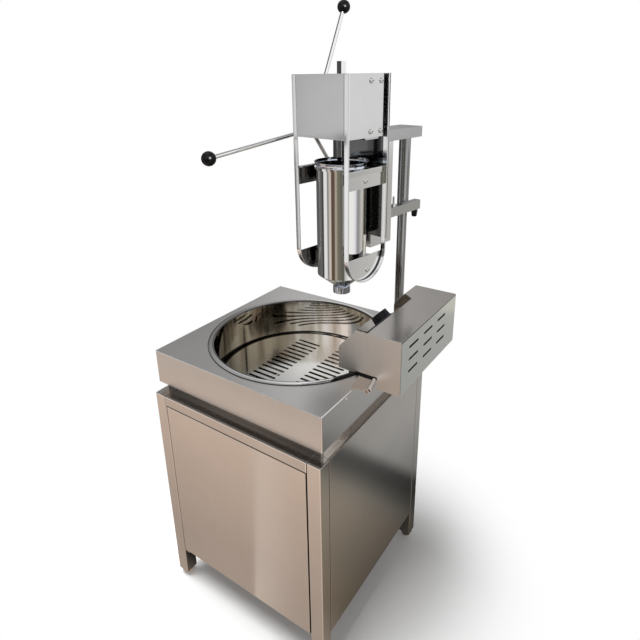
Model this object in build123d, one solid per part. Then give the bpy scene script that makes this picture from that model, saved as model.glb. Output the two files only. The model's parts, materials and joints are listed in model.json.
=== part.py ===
from build123d import *
import math
import os

# Churro machine: a round fryer on a cabinet, with a swinging rack-and-pinion dough press on a post.
# Millimetres, +Z up. The front looks along -Y and the control head is on the +X side.
# Places are given from the floor point under the middle of the fryer deck. The finished part is then
# moved so that its origin is on the floor under the middle of its whole outline.

# Cabinet
CABINET_LEFT = -288.0
CABINET_RIGHT = 312.0
CABINET_FRONT = -327.0
CABINET_BACK = 274.0
CABINET_TOP = 723.0
PANEL_BOTTOM = 126.0
SHEET = 1.5
LEG = 42.0
LEG_WALL = 1.5
LEG_ROUND = 4.0
LEG_FOOT = 24.0
FOOT_PLUG = 22.0
FOOT_STUB = 11.0
FOOT_WAIST = 14.5
FOOT_STUB_TOP = 3.0
FOOT_WAIST_TOP = 9.0
FOOT_BAND = 5.0
RAIL_HEIGHT = 30.0
RAIL_DEPTH = 45.0
RAIL_LIP = 20.0
PANEL_FLANGE = 22.0
SHELF_LIP = 16.0
SEAM = 0.5

# Door
DOOR_GAP = 3.0
DOOR_THICK = 18.0
DOOR_RETURN = 15.0
PIN_INSET = 7.0
PIN_RADIUS = 4.0
PIN_FIT = 0.05
PIN_REACH = 12.0
HINGE_TAB = 22.0
LATCH_SIZE = (14.0, 28.0, 34.0)
LATCH_HEIGHT = 640.0
LATCH_NOSE = 5.0

# Fryer deck and neck
DECK_SIDE = 600.0
DECK_TOP = 850.0
DECK_SHEET = 2.0
DECK_ROUND = 4.0
SKIRT_BOTTOM = 745.0
DECK_OPENING = (-274.0, 274.0, -274.0, 272.2)
NECK_LEFT = -276.0
NECK_RIGHT = 296.0
NECK_FRONT = -290.0
NECK_ROUND = 8.0

# Tank, drain and grate
TANK_X = 8.0
TANK_Y = 8.0
TANK_RADIUS = 262.0
TANK_SHEET = 1.5
TANK_FLOOR = 690.0
TANK_CORNER = 16.0
CORNER_STEPS = 3
RIM_RADIUS = 282.0
RIM_HEIGHT = 3.5
RIM_STEPS = 6
DRAIN_X = -52.0
DRAIN_Y = -112.0
DRAIN_BORE = 14.0
DRAIN_WALL = 3.0
DRAIN_FLANGE = 24.0
STUB_BOTTOM = 640.0
VALVE_BOTTOM = 575.0
SPOUT_BOTTOM = 535.0
VALVE_RADIUS = 22.0
VALVE_NUT = 24.0
VALVE_NUT_HEIGHT = 12.0
STEM_RADIUS = 5.0
STEM_LENGTH = 18.0
STEM_INSIDE = 4.0
LEVER_LENGTH = 112.0
LEVER_WIDTH = 16.0
LEVER_THICK = 4.0
LEVER_GAP = 1.0
GRIP_LENGTH = 66.0
GRATE_TOP = 728.0
GRATE_SHEET = 2.0
GRATE_RADIUS = 258.0
GRATE_CUT = 205.0
SLOT_COUNT = 13
SLOT_PITCH = 22.4
SLOT_FIRST_Y = -99.0
SLOT_LENGTH = 90.0
SLOT_WIDTH = 9.5
SLOT_ROWS_X = (-73.0, 81.0)
GRATE_FOOT = 24.0

# Heating elements and bulb
ELEMENT_RADIUS = 5.0
ELEMENT_Z = 708.0
ELEMENT_TOP = 880.0
ELEMENT_RISER_X = 236.0
ELEMENT_BEND = 18.0
ELEMENT_MIRROR_Y = 28.0
ELEMENT_OFFSETS = (90.0, 40.0)
ELEMENT_END_X = -140.0
BULB_RADIUS = 4.0
CAPILLARY_RADIUS = 2.0
BULB_Y = 50.0
BULB_X = (40.0, 150.0)
BULB_Z = 704.0

# Control head
HEAD_LEFT = 214.0
HEAD_RIGHT = 400.0
HEAD_FRONT = -88.0
HEAD_BACK = 285.0
HEAD_FLOOR = 854.0
HEAD_TOP = 982.0
HANG_X = 333.0
HANG_Z = 825.0
SLOPE_LOW_Z = 892.0
RIDGE_X = 302.0
CHEEK_LOW_Z = 919.0
CHEEK_X = 268.0
CHEEK_FRONT_Y = 46.0
CHEEK_BACK_Y = 242.0
CHEEK_FRONT_SLANT = 0.98
CHEEK_BACK_SLANT = 0.70
VENT_ROWS = 3
VENT_COLUMNS = 3
VENT_LENGTH = 58.0
VENT_WIDTH = 7.0
VENT_PITCH_Y = 93.5
VENT_PITCH_Z = 36.0
VENT_CENTRE_Y = 82.0
VENT_CENTRE_Z = 912.0
COVER_GAP = 0.3
HOOK_WIDTH = 28.0
HOOK_THICK = 3.0
HOOK_REACH = 14.0
HOOK_DROP = 24.0
HOOK_BEND = 6.0
LATCH_PLAN = ((280.0, -80.0), (318.0, -80.0), (334.0, -144.0), (295.0, -158.0))
LATCH_EYE = 6.5
LATCH_EYE_BORE = 3.5
LATCH_EYE_SPAN = (-142.0, -92.0)
KNOB_Y = 90.0
KNOB_BASE = 29.5
KNOB_TOP = 24.0
KNOB_HEIGHT = 25.5
KNOB_SKIRT = 5.0
KNOB_FLUTES = 10
KNOB_FLUTE = 5.0
KNOB_FLUTE_DEPTH = 1.75
KNOB_NECK = 25.5
KNOB_EDGE = 2.0
KNOB_STEM = 3.0
THERMOSTAT_SIZE = (44.0, 40.0, 32.0)
LAMP_RADIUS = 6.0
LAMP_OFFSET_Y = 62.0
LAMP_SPACING = 30.0
LAMP_DEPTH = 8.0
TERMINAL_SIZE = (28.0, 100.0, 18.0)
TERMINAL_INSET = 16.0
TERMINAL_Y = 120.0
TERMINAL_ROUND = 2.0
GLAND_X = 366.0
GLAND_Z = 846.0
GLAND_NUT = 13.0
GLAND_RADIUS = 10.0
GLAND_BORE = 5.0
GLAND_NUT_HEIGHT = 6.0
GLAND_DOME = 13.0
GLAND_END = 18.0
GLAND_TAPER = 3.0

# Dough press: its own frame has u to the right, v to the back and its origin on the cylinder's axis.
PRESS_X = 136.6
PRESS_Y = 50.1
PRESS_TURN = -9.85
CYLINDER_RADIUS = 69.75
CYLINDER_WALL = 1.5
CYLINDER_BOTTOM = 1075.0
CYLINDER_RIM = 1397.5
FLARE_RADIUS = 75.5
FLARE_HEIGHT = 10.0
COLLAR_RADIUS = 74.0
COLLAR_TOP = 1384.0
COLLAR_HEIGHT = 6.0
CONE_BOTTOM = 1036.0
NECK_RADIUS = 20.0
NECK_BORE = 17.0
NECK_END = 1021.0
NUT_RADIUS = 25.5
NUT_BOTTOM = 1015.0
NUT_LOBES = 8
NUT_SCALLOP = 4.0
NUT_SCALLOP_OUT = 2.2
NUT_MOUTH = 14.0
DIE_THICK = 3.0
DIE_RADIUS = 19.8
STAR_POINTS = 6
STAR_OUTER = 10.0
STAR_INNER = 6.0

# Hoop frame and gear housing
HOOP_U = 91.0
HOOP_WIDTH = 15.0
HOOP_THICK = 4.0
HOOP_FRONT = -84.0
HOOP_BACK = 76.0
HOOP_BOTTOM = 1073.0
HOUSING_BOTTOM = 1463.0
HOUSING_TOP = 1619.0
SIDE_THICK = 6.0
SIDE_GAP = 10.0
COVER_SHEET = 2.0
COVER_FLANGE = 28.0
TOP_PLATE = 3.0
BACK_PLATE_BOTTOM = 1180.0
BACK_PLATE_THICK = 4.0
BRACKET_BOTTOM = 1334.0
BRACKET_TOP = 1384.0
BRACKET_THICK = 4.0
BRACKET_FLANGE = 8.0
SADDLE_THICK = 4.0
SADDLE_FRONT = 5.0
LOWER_SADDLE_Z = 1118.0
MOON_TOP = 1144.0
MOON_THICK = 3.0
BOLT_RADIUS = 5.5
BOLT_HEIGHT = 4.0
BOLT_VS = (12.0, 52.0)
BOLT_ZS = (1478.0, 1601.5)
BRACKET_BOLT = (-3.0, 1353.0)
MOON_BOLT = (11.0, 1101.0)

# Rack and pinion
MODULE = 2.0
PINION_TEETH = 18
PRESSURE_ANGLE = 20.0
DEDENDUM = 1.25 * MODULE
FLANK_STEPS = 3
BACKLASH = 0.3
RACK_WIDTH = 16.0
RACK_DEPTH = 18.0
RACK_TOP = 1649.0
RACK_TEETH_LOW = 1134.0
RACK_TEETH_HIGH = 1604.0
RACK_GAP = 0.3
SHAFT_Z = 1470.0
SHAFT_RADIUS = 8.0
SHAFT_FIT = 0.05
SHAFT_RIGHT = 80.0
PINION_WIDTH = 20.0
BEARING_HALF = (30.0, 13.0)
BEARING_THICK = 17.0
GUIDE_FRONT = -18.0
GUIDE_BACK = 60.0
GUIDE_BOTTOM = 1590.0
BACKING_FRONT = -26.0
BACKING_BOTTOM = 1463.0
BACKING_HEIGHT = 22.0
BACKING_ROUND = 3.0
BEARING_ROUND = 7.8
PISTON_RADIUS = 66.5
PISTON_BOTTOM = 1088.0
PISTON_THICK = 18.0
SEAL_RADIUS = 68.2
SEAL_INNER = 63.0
SEAL_HEIGHT = 6.0
SEAL_LIP = 1.0
STUD_RADIUS = 6.0
NUT_HEX = 11.0
NUT_THICK = 9.0
STUD_END = 2.0

# Capstan
CAPSTAN_U = -140.0
SPOKES = 3
SPOKE_LENGTH = 356.0
SPOKE_ANGLE = 186.8
SPOKE_RADIUS = 5.5
SPOKE_ROOT = 10.0
BALL_RADIUS = 18.5
BALL_SOCKET = 10.0
HUB_RADIUS = 22.0
HUB_HALF = 20.0
HUB_CHAMFER = 3.0

# Post and swing arms
POST_V = 290.0
POST_RADIUS = 15.0
POST_WALL = 2.5
POST_BOTTOM = 396.0
CAP_THICK = 2.0
CAP_PLUG = 16.0
SLEEVE_RADIUS = 18.0
SWING_FIT = 0.05
ARM_HALF = 41.0
ARM_WALL = 3.0
ARM_BOTTOM = 1436.0
ARM_TOP = 1467.0
ARM_END = 319.0
LOWER_ARM_BOTTOM = 1209.0
LOWER_ARM_TOP = 1238.0
LOWER_ARM_WIDTH = 22.0
LOWER_ARM_END = 332.0
COLUMN_BACK = 176.0
COLUMN_BOTTOM = 1139.0
STUD_V = 205.0
STUD_HEIGHT = 30.0
ARM_STUD_RADIUS = 5.0
ARM_NUT_RADIUS = 8.0
ARM_NUT_HEIGHT = 7.0
LOCK_V = 317.0
LOCK_SCREW = 4.0
LOCK_KNOB_TOP = 11.0
LOCK_KNOB_END = 8.0
LOCK_KNOB_HEIGHT = 22.0
LOCK_KNOB_EDGE = 1.5
LOCK_GAP = 2.0
LOCK_DEPTH = 18.0
BRACKET_RING = 22.0
POST_BRACKETS_Z = (410.0, 800.0)
POST_BRACKET_HEIGHT = 44.0
POST_PLATE = (76.0, 4.0)
POST_WEB = 26.0
POST_PLATE_ROUND = 8.0

PRESS_PLACE = Location((PRESS_X, PRESS_Y, 0), (0, 0, PRESS_TURN))


# Shared helpers

def block(x, y, z):
    """A box between the given pairs of faces."""
    return Pos(sum(x) / 2, sum(y) / 2, sum(z) / 2) * Box(x[1] - x[0], y[1] - y[0], z[1] - z[0])


def rod(radius, z, x=0.0, y=0.0):
    """An upright cylinder between two heights."""
    return Pos(x, y, sum(z) / 2) * Cylinder(radius, z[1] - z[0])


def cross_rod(radius, x, y, z):
    """A cylinder along X between two places."""
    return Pos(sum(x) / 2, y, z) * Rot(0, 90, 0) * Cylinder(radius, x[1] - x[0])


def along_y(radius, y, x, z):
    """A cylinder along Y between two places."""
    return Pos(x, sum(y) / 2, z) * Rot(90, 0, 0) * Cylinder(radius, y[1] - y[0])


def turned(*points):
    """A solid of revolution about Z from its outline in radius and height."""
    outline = make_face(Polyline(*[(r, 0, z) for r, z in points], close=True))
    return revolve(outline, Axis.Z)


def arc_points(middle, half, start, end, steps):
    """Points on an arc or a flattened arc in radius and height, between two angles in degrees."""
    points = []
    for step in range(steps + 1):
        angle = math.radians(start + (end - start) * step / steps)
        points.append((middle[0] + half[0] * math.cos(angle), middle[1] + half[1] * math.sin(angle)))
    return points


def prism_y(points, y):
    """An outline in X and Z drawn out along Y between two places."""
    outline = make_face(Polyline(*[(px, y[0], pz) for px, pz in points], close=True))
    return extrude(outline, y[1] - y[0], dir=(0, 1, 0))


def prism_x(points, x):
    """An outline in Y and Z drawn out along X between two places."""
    outline = make_face(Polyline(*[(x[0], py, pz) for py, pz in points], close=True))
    return extrude(outline, x[1] - x[0], dir=(1, 0, 0))


def prism_z(points, z):
    """An outline in X and Y drawn up between two heights."""
    outline = make_face(Polyline(*[(px, py, z[0]) for px, py in points], close=True))
    return extrude(outline, z[1] - z[0], dir=(0, 0, 1))


def mirrored(part):
    """A piece and its twin on the other side of the press."""
    return [part, mirror(part, Plane.YZ)]


# Cabinet

LEG_XS = (CABINET_LEFT + LEG / 2, CABINET_RIGHT - LEG / 2)
LEG_YS = (CABINET_FRONT + LEG / 2, CABINET_BACK - LEG / 2)
BAY_X = (CABINET_LEFT + LEG, CABINET_RIGHT - LEG)
BAY_Y = (CABINET_FRONT + LEG, CABINET_BACK - LEG)


def leg_tubes():
    """Square corner tubes, closed by a welded plate at the top and open below for the feet."""
    height = CABINET_TOP - LEG_FOOT
    outer = RectangleRounded(LEG, LEG, LEG_ROUND)
    bore = RectangleRounded(LEG - 2 * LEG_WALL, LEG - 2 * LEG_WALL, LEG_ROUND - LEG_WALL)
    tube = extrude(outer, height) - extrude(bore, height - LEG_WALL)
    return [Pos(x, y, LEG_FOOT) * tube for x in LEG_XS for y in LEG_YS]


def feet():
    """Bullet feet: a plug in the tube, a taper and a small stub on the floor."""
    top = LEG / 2
    outline = (
        (0, 0), (FOOT_STUB, 0), (FOOT_WAIST, FOOT_STUB_TOP), (FOOT_WAIST, FOOT_WAIST_TOP),
        (top, LEG_FOOT - FOOT_BAND), (top, LEG_FOOT), (0, LEG_FOOT),
    )
    side = LEG - 2 * LEG_WALL - 2 * SEAM
    plug = Pos(0, 0, LEG_FOOT) * extrude(RectangleRounded(side, side, LEG_ROUND - LEG_WALL), FOOT_PLUG)
    foot = turned(*outline) + plug
    return [Pos(x, y, 0) * foot for x in LEG_XS for y in LEG_YS]


def front_rail():
    """Folded rail above the door, with a wide top flange that carries the neck."""
    bottom = CABINET_TOP - RAIL_HEIGHT
    front = CABINET_FRONT
    outline = (
        (front, bottom), (front + RAIL_LIP, bottom), (front + RAIL_LIP, bottom + SHEET),
        (front + SHEET, bottom + SHEET), (front + SHEET, CABINET_TOP - SHEET),
        (front + RAIL_DEPTH, CABINET_TOP - SHEET), (front + RAIL_DEPTH, CABINET_TOP), (front, CABINET_TOP),
    )
    return prism_x(outline, (BAY_X[0] + SEAM, BAY_X[1] - SEAM))


def side_panels():
    """Side sheets between the corner tubes, folded in at the top and the bottom."""
    y = (BAY_Y[0] + SEAM, BAY_Y[1] - SEAM)
    z = (PANEL_BOTTOM, CABINET_TOP)
    inside = (PANEL_BOTTOM + SHEET, CABINET_TOP - SHEET)
    left = block((CABINET_LEFT, CABINET_LEFT + PANEL_FLANGE), y, z)
    left -= block((CABINET_LEFT + SHEET, CABINET_LEFT + PANEL_FLANGE), y, inside)
    right = block((CABINET_RIGHT - PANEL_FLANGE, CABINET_RIGHT), y, z)
    right -= block((CABINET_RIGHT - PANEL_FLANGE, CABINET_RIGHT - SHEET), y, inside)
    return [left, right]


def back_panel():
    """Back sheet between the corner tubes, folded in at the bottom."""
    x = (BAY_X[0] + SEAM, BAY_X[1] - SEAM)
    sheet = block(x, (CABINET_BACK - SHEET, CABINET_BACK), (PANEL_BOTTOM, CABINET_TOP))
    flange = block(x, (CABINET_BACK - PANEL_FLANGE, CABINET_BACK), (PANEL_BOTTOM, PANEL_BOTTOM + SHEET))
    return sheet + flange


def bottom_shelf():
    """Shelf on the panels' bottom flanges, notched round the tubes, with a front lip."""
    z = (PANEL_BOTTOM + SHEET, PANEL_BOTTOM + 2 * SHEET)
    x = (CABINET_LEFT + 2 * SHEET, CABINET_RIGHT - 2 * SHEET)
    y = (CABINET_FRONT + DOOR_THICK + DOOR_GAP, CABINET_BACK - 2 * SHEET)
    shelf = block(x, y, z)
    shelf += block((BAY_X[0] + SEAM, BAY_X[1] - SEAM), (y[0], y[0] + SHEET), (z[0], z[0] + SHELF_LIP))
    side = LEG + 2 * SEAM
    for leg_x in LEG_XS:
        for leg_y in LEG_YS:
            shelf -= Pos(leg_x, leg_y, sum(z) / 2) * Box(side, side, SHELF_LIP)
    return shelf


# Door

DOOR_X = (BAY_X[0] + DOOR_GAP, BAY_X[1] - DOOR_GAP)
DOOR_Y = (CABINET_FRONT, CABINET_FRONT + DOOR_THICK)
DOOR_Z = (PANEL_BOTTOM + DOOR_GAP, CABINET_TOP - RAIL_HEIGHT - DOOR_GAP)
PIN_X = DOOR_X[0] + PIN_INSET
PIN_Y = DOOR_Y[0] + PIN_INSET


def door():
    """Folded pan, open at the back inside its return flanges, with a pin hole at the top and bottom."""
    pan = block(DOOR_X, DOOR_Y, DOOR_Z)
    pan = fillet(pan.faces().sort_by(Axis.Y)[0].edges(), SHEET)
    inside_x = (DOOR_X[0] + SHEET, DOOR_X[1] - SHEET)
    inside_z = (DOOR_Z[0] + SHEET, DOOR_Z[1] - SHEET)
    pan -= block(inside_x, (DOOR_Y[0] + SHEET, DOOR_Y[1] - SHEET), inside_z)
    mouth_x = (DOOR_X[0] + DOOR_RETURN, DOOR_X[1] - DOOR_RETURN)
    mouth_z = (DOOR_Z[0] + DOOR_RETURN, DOOR_Z[1] - DOOR_RETURN)
    pan -= block(mouth_x, (DOOR_Y[1] - 2 * SHEET, DOOR_Y[1] + SHEET), mouth_z)
    pan -= rod(PIN_RADIUS + PIN_FIT, (DOOR_Z[0] - SHEET, DOOR_Z[1] + SHEET), PIN_X, PIN_Y)
    return pan


def door_hinges():
    """Upper pin under the rail, and a lower pin on a tab from the corner tube."""
    rail_bottom = CABINET_TOP - RAIL_HEIGHT
    upper = rod(PIN_RADIUS, (rail_bottom - PIN_REACH, rail_bottom), PIN_X, PIN_Y)
    tab_z = (DOOR_Z[0] - 2 * DOOR_GAP, DOOR_Z[0] - DOOR_GAP)
    tab = block((BAY_X[0], BAY_X[0] + HINGE_TAB), (DOOR_Y[0] + SHEET, DOOR_Y[1]), tab_z)
    shoulder = rod(PIN_RADIUS + SHEET, (tab_z[0], DOOR_Z[0]), PIN_X, PIN_Y)
    lower = tab + shoulder + rod(PIN_RADIUS, (tab_z[0], DOOR_Z[0] + PIN_REACH), PIN_X, PIN_Y)
    return [upper, lower]


def touch_latch():
    """Push latch on the corner tube, with its nose just behind the door's return flange."""
    width, depth, height = LATCH_SIZE
    nose_y = DOOR_Y[1] + SEAM
    body_y = nose_y + LATCH_NOSE
    z = (LATCH_HEIGHT, LATCH_HEIGHT + height)
    body = block((BAY_X[1] - width, BAY_X[1]), (body_y, body_y + depth), z)
    return body + along_y(LATCH_NOSE, (nose_y, body_y), BAY_X[1] - width / 2, sum(z) / 2)


# Neck, deck and tank

def neck_frame():
    """Recessed band that the fryer stands on."""
    width = NECK_RIGHT - NECK_LEFT
    depth = CABINET_BACK - NECK_FRONT
    ring = RectangleRounded(width, depth, NECK_ROUND)
    ring -= RectangleRounded(width - 2 * SHEET, depth - 2 * SHEET, NECK_ROUND - SHEET)
    middle = Pos((NECK_LEFT + NECK_RIGHT) / 2, (NECK_FRONT + CABINET_BACK) / 2, CABINET_TOP)
    return middle * extrude(ring, SKIRT_BOTTOM - CABINET_TOP)


def deck():
    """Inverted tray: top sheet with the tank's hole, deep skirt and return flange."""
    half = DECK_SIDE / 2
    tray = block((-half, half), (-half, half), (SKIRT_BOTTOM, DECK_TOP))
    tray = fillet(tray.edges().filter_by(Axis.Z), DECK_ROUND)
    tray = fillet(tray.faces().sort_by(Axis.Z)[-1].edges(), DECK_SHEET)
    inner = half - DECK_SHEET
    tray -= block((-inner, inner), (-inner, inner), (SKIRT_BOTTOM + DECK_SHEET, DECK_TOP - DECK_SHEET))
    x0, x1, y0, y1 = DECK_OPENING
    tray -= block((x0, x1), (y0, y1), (SKIRT_BOTTOM - DECK_SHEET, SKIRT_BOTTOM + 2 * DECK_SHEET))
    hole = TANK_RADIUS + TANK_SHEET + SEAM
    return tray - rod(hole, (DECK_TOP - 2 * DECK_SHEET, DECK_TOP + DECK_SHEET), TANK_X, TANK_Y)


def tank():
    """Spun tank with a rounded bottom corner, a rolled rim on the deck and a drain hole."""
    corner = (TANK_RADIUS - TANK_CORNER, TANK_FLOOR + TANK_CORNER)
    outer_corner = TANK_CORNER + TANK_SHEET
    roll = ((TANK_RADIUS + RIM_RADIUS) / 2, DECK_TOP)
    roll_half = (RIM_RADIUS - TANK_RADIUS) / 2
    outline = [(0, TANK_FLOOR)]
    outline += arc_points(corner, (TANK_CORNER, TANK_CORNER), -90, 0, CORNER_STEPS)
    outline += arc_points(roll, (roll_half, RIM_HEIGHT), 180, 0, RIM_STEPS)
    outline += arc_points(roll, (roll_half - TANK_SHEET, RIM_HEIGHT - TANK_SHEET), 0, 180, RIM_STEPS)
    outline += arc_points(corner, (outer_corner, outer_corner), 0, -90, CORNER_STEPS)
    outline.append((0, TANK_FLOOR - TANK_SHEET))
    bowl = Pos(TANK_X, TANK_Y, 0) * turned(*outline)
    return bowl - rod(DRAIN_BORE, (TANK_FLOOR - 2 * TANK_SHEET, TANK_FLOOR + TANK_SHEET), DRAIN_X, DRAIN_Y)


def drain_stub():
    """Flanged pipe welded under the tank floor."""
    top = TANK_FLOOR - TANK_SHEET
    pipe = rod(DRAIN_BORE + DRAIN_WALL, (STUB_BOTTOM, top)) + rod(DRAIN_FLANGE, (top - DRAIN_WALL, top))
    return Pos(DRAIN_X, DRAIN_Y, 0) * (pipe - rod(DRAIN_BORE, (STUB_BOTTOM, top)))


VALVE_Z = (STUB_BOTTOM + VALVE_BOTTOM) / 2
STEM_BACK = DRAIN_Y - VALVE_RADIUS + STEM_INSIDE
STEM_Y = (STEM_BACK - STEM_LENGTH, STEM_BACK)


def drain_valve():
    """Ball valve with hexagon ends, a stem boss at the front and a plain spout."""
    body = rod(VALVE_RADIUS, (VALVE_BOTTOM, STUB_BOTTOM))
    hexagon = extrude(RegularPolygon(VALVE_NUT, 6), VALVE_NUT_HEIGHT)
    body += Pos(0, 0, VALVE_BOTTOM) * hexagon
    body += Pos(0, 0, STUB_BOTTOM - VALVE_NUT_HEIGHT) * hexagon
    body += rod(DRAIN_BORE + DRAIN_WALL, (SPOUT_BOTTOM, VALVE_BOTTOM))
    body -= rod(DRAIN_BORE, (SPOUT_BOTTOM, VALVE_BOTTOM + VALVE_NUT_HEIGHT))
    body = Pos(DRAIN_X, DRAIN_Y, 0) * body
    body += along_y(2 * STEM_RADIUS, (STEM_Y[0], DRAIN_Y), DRAIN_X, VALVE_Z)
    return body - along_y(STEM_RADIUS + PIN_FIT, STEM_Y, DRAIN_X, VALVE_Z)


def valve_lever():
    """Flat lever with a rounded grip, on the stem of the valve."""
    face = STEM_Y[0] - LEVER_GAP
    stem = along_y(STEM_RADIUS, (face - LEVER_THICK, STEM_Y[1] - 2 * LEVER_GAP), DRAIN_X, VALVE_Z)
    bar = SlotOverall(LEVER_LENGTH, LEVER_WIDTH)
    grip = SlotOverall(GRIP_LENGTH, LEVER_WIDTH + LEVER_THICK)
    to_front = Rot(90, 0, 0)
    place = Pos(DRAIN_X + LEVER_LENGTH / 2 - LEVER_WIDTH / 2, face, VALVE_Z)
    lever = place * to_front * extrude(bar, LEVER_THICK)
    grip_x = (LEVER_LENGTH - GRIP_LENGTH) / 2 + LEVER_THICK / 2
    lever += place * Pos(grip_x, LEVER_THICK / 2, 0) * to_front * extrude(grip, 2 * LEVER_THICK)
    return lever + stem


def grate():
    """Round plate with two rows of slots, cut straight beside the control head, on four folded feet."""
    plate = Pos(TANK_X, TANK_Y) * Circle(GRATE_RADIUS)
    plate -= Pos(GRATE_CUT + GRATE_RADIUS, TANK_Y) * Rectangle(2 * GRATE_RADIUS, 2 * GRATE_RADIUS)
    slot = SlotOverall(SLOT_LENGTH, SLOT_WIDTH)
    for row_x in SLOT_ROWS_X:
        for count in range(SLOT_COUNT):
            plate -= Pos(row_x, SLOT_FIRST_Y + count * SLOT_PITCH) * slot
    solid = Pos(0, 0, GRATE_TOP - GRATE_SHEET) * extrude(plate, GRATE_SHEET)
    half = GRATE_FOOT / 2
    reach = TANK_RADIUS - 2 * TANK_CORNER - half
    foot_z = (TANK_FLOOR, GRATE_TOP)
    foot_x = TANK_X - reach
    solid += block((foot_x, foot_x + GRATE_SHEET), (TANK_Y - half, TANK_Y + half), foot_z)
    foot_x = GRATE_CUT - GRATE_SHEET
    solid += block((foot_x, foot_x + GRATE_SHEET), (TANK_Y - half, TANK_Y + half), foot_z)
    for foot_y in (TANK_Y - reach, TANK_Y + reach):
        solid += block((TANK_X - half, TANK_X + half), (foot_y, foot_y + GRATE_SHEET), foot_z)
    return solid


# Heating elements and bulb

def heating_element(sign):
    """One hairpin tube under the grate, from its two risers in the control head."""
    outer_y, inner_y = [ELEMENT_MIRROR_Y + sign * offset for offset in ELEMENT_OFFSETS]
    riser, end = ELEMENT_RISER_X, ELEMENT_END_X
    route = (
        (riser, outer_y, ELEMENT_TOP), (riser, outer_y, ELEMENT_Z), (end, outer_y, ELEMENT_Z),
        (end, inner_y, ELEMENT_Z), (riser, inner_y, ELEMENT_Z), (riser, inner_y, ELEMENT_TOP),
    )
    path = FilletPolyline(*route, radius=ELEMENT_BEND)
    return sweep(Plane(route[0], z_dir=(0, 0, -1)) * Circle(ELEMENT_RADIUS), path)


def heating_elements():
    """Two elements, mirrored about the head's middle."""
    return [heating_element(-1), heating_element(1)]


def thermostat_bulb():
    """Sensing bulb beside the elements, with its capillary up into the head."""
    riser = ELEMENT_RISER_X - 2 * ELEMENT_RADIUS
    route = ((BULB_X[0] + BULB_RADIUS, BULB_Y, BULB_Z), (riser, BULB_Y, BULB_Z), (riser, BULB_Y, ELEMENT_TOP))
    path = FilletPolyline(*route, radius=ELEMENT_BEND)
    capillary = sweep(Plane(route[0], z_dir=(1, 0, 0)) * Circle(CAPILLARY_RADIUS), path)
    return capillary + cross_rod(BULB_RADIUS, BULB_X, BULB_Y, BULB_Z)


# Control head

SLOPE_MIDDLE = ((HEAD_LEFT + RIDGE_X) / 2, KNOB_Y, (SLOPE_LOW_Z + HEAD_TOP) / 2)
SLOPE_RUN = Vector(RIDGE_X - HEAD_LEFT, 0, HEAD_TOP - SLOPE_LOW_Z).normalized()
SLOPE = Plane(SLOPE_MIDDLE, x_dir=SLOPE_RUN, z_dir=SLOPE_RUN.cross(Vector(0, 1, 0)))
LAMP_PLACES = ((-LAMP_SPACING / 2, LAMP_OFFSET_Y, 0), (LAMP_SPACING / 2, LAMP_OFFSET_Y, 0))


def head_body():
    """Folded base with the two end plates; its right-hand part hangs beside the deck."""
    ends = (
        (HEAD_LEFT, HEAD_FLOOR), (HANG_X, HEAD_FLOOR), (HANG_X, HANG_Z), (HEAD_RIGHT, HANG_Z),
        (HEAD_RIGHT, HEAD_TOP), (CHEEK_X, HEAD_TOP), (HEAD_LEFT, CHEEK_LOW_Z),
    )
    body = prism_y(ends, (HEAD_FRONT, HEAD_BACK))
    floor, hang = HEAD_FLOOR + SHEET, HANG_Z + SHEET
    past = HEAD_RIGHT + SHEET
    hollow = (
        (HEAD_LEFT - SHEET, floor), (HANG_X + SHEET, floor), (HANG_X + SHEET, hang), (past, hang),
        (past, HEAD_TOP + SHEET), (HEAD_LEFT - SHEET, HEAD_TOP + SHEET),
    )
    body -= prism_y(hollow, (HEAD_FRONT + SHEET, HEAD_BACK - SHEET))
    hole_z = (HEAD_FLOOR - SHEET, floor + SHEET)
    for offset in ELEMENT_OFFSETS:
        for side in (-1, 1):
            body -= rod(ELEMENT_RADIUS + SEAM, hole_z, ELEMENT_RISER_X, ELEMENT_MIRROR_Y + side * offset)
    body -= rod(CAPILLARY_RADIUS + SEAM, hole_z, ELEMENT_RISER_X - 2 * ELEMENT_RADIUS, BULB_Y)
    return body - along_y(GLAND_RADIUS, (HEAD_BACK - 2 * SHEET, HEAD_BACK + SHEET), GLAND_X, GLAND_Z)


def cover_form(inset):
    """The cover's outer form, or its hollow when inset by the sheet: slope, top and two cheeks."""
    bottom = HEAD_FLOOR + 2 * SHEET - 4 * inset
    left, top = HEAD_LEFT + inset, HEAD_TOP - inset
    right = HEAD_RIGHT + inset
    gap = COVER_GAP - 4 * inset
    y = (HEAD_FRONT + SHEET + gap, HEAD_BACK - SHEET - gap)
    slope_low, ridge = (left, SLOPE_LOW_Z - inset / 2), (RIDGE_X + inset / 2, top)
    cheek_low, cheek_high = (left, CHEEK_LOW_Z - inset / 2), (CHEEK_X + inset / 2, top)
    slope = ((left, bottom), slope_low, ridge, (right, top), (right, bottom))
    cheek = ((left, bottom), cheek_low, cheek_high, (right, top), (right, bottom))
    pull = inset * math.sqrt(2)
    span = RIDGE_X - HEAD_LEFT
    front_ends = (CHEEK_FRONT_Y - pull, CHEEK_FRONT_Y - pull - span * CHEEK_FRONT_SLANT)
    back_ends = (CHEEK_BACK_Y + pull, CHEEK_BACK_Y + pull - span * CHEEK_BACK_SLANT)
    z = (bottom, top)
    front_plan = [(left, y[0]), (right, y[0]), (right, front_ends[1]), (RIDGE_X, front_ends[1])]
    front_plan.append((left, front_ends[0]))
    back_plan = [(left, y[1]), (right, y[1]), (right, back_ends[1]), (RIDGE_X, back_ends[1])]
    back_plan.append((left, back_ends[0]))
    form = prism_y(slope, y)
    form += prism_y(cheek, y) & prism_z(front_plan, z)
    form += prism_y(cheek, y) & prism_z(back_plan, z)
    return form


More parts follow.
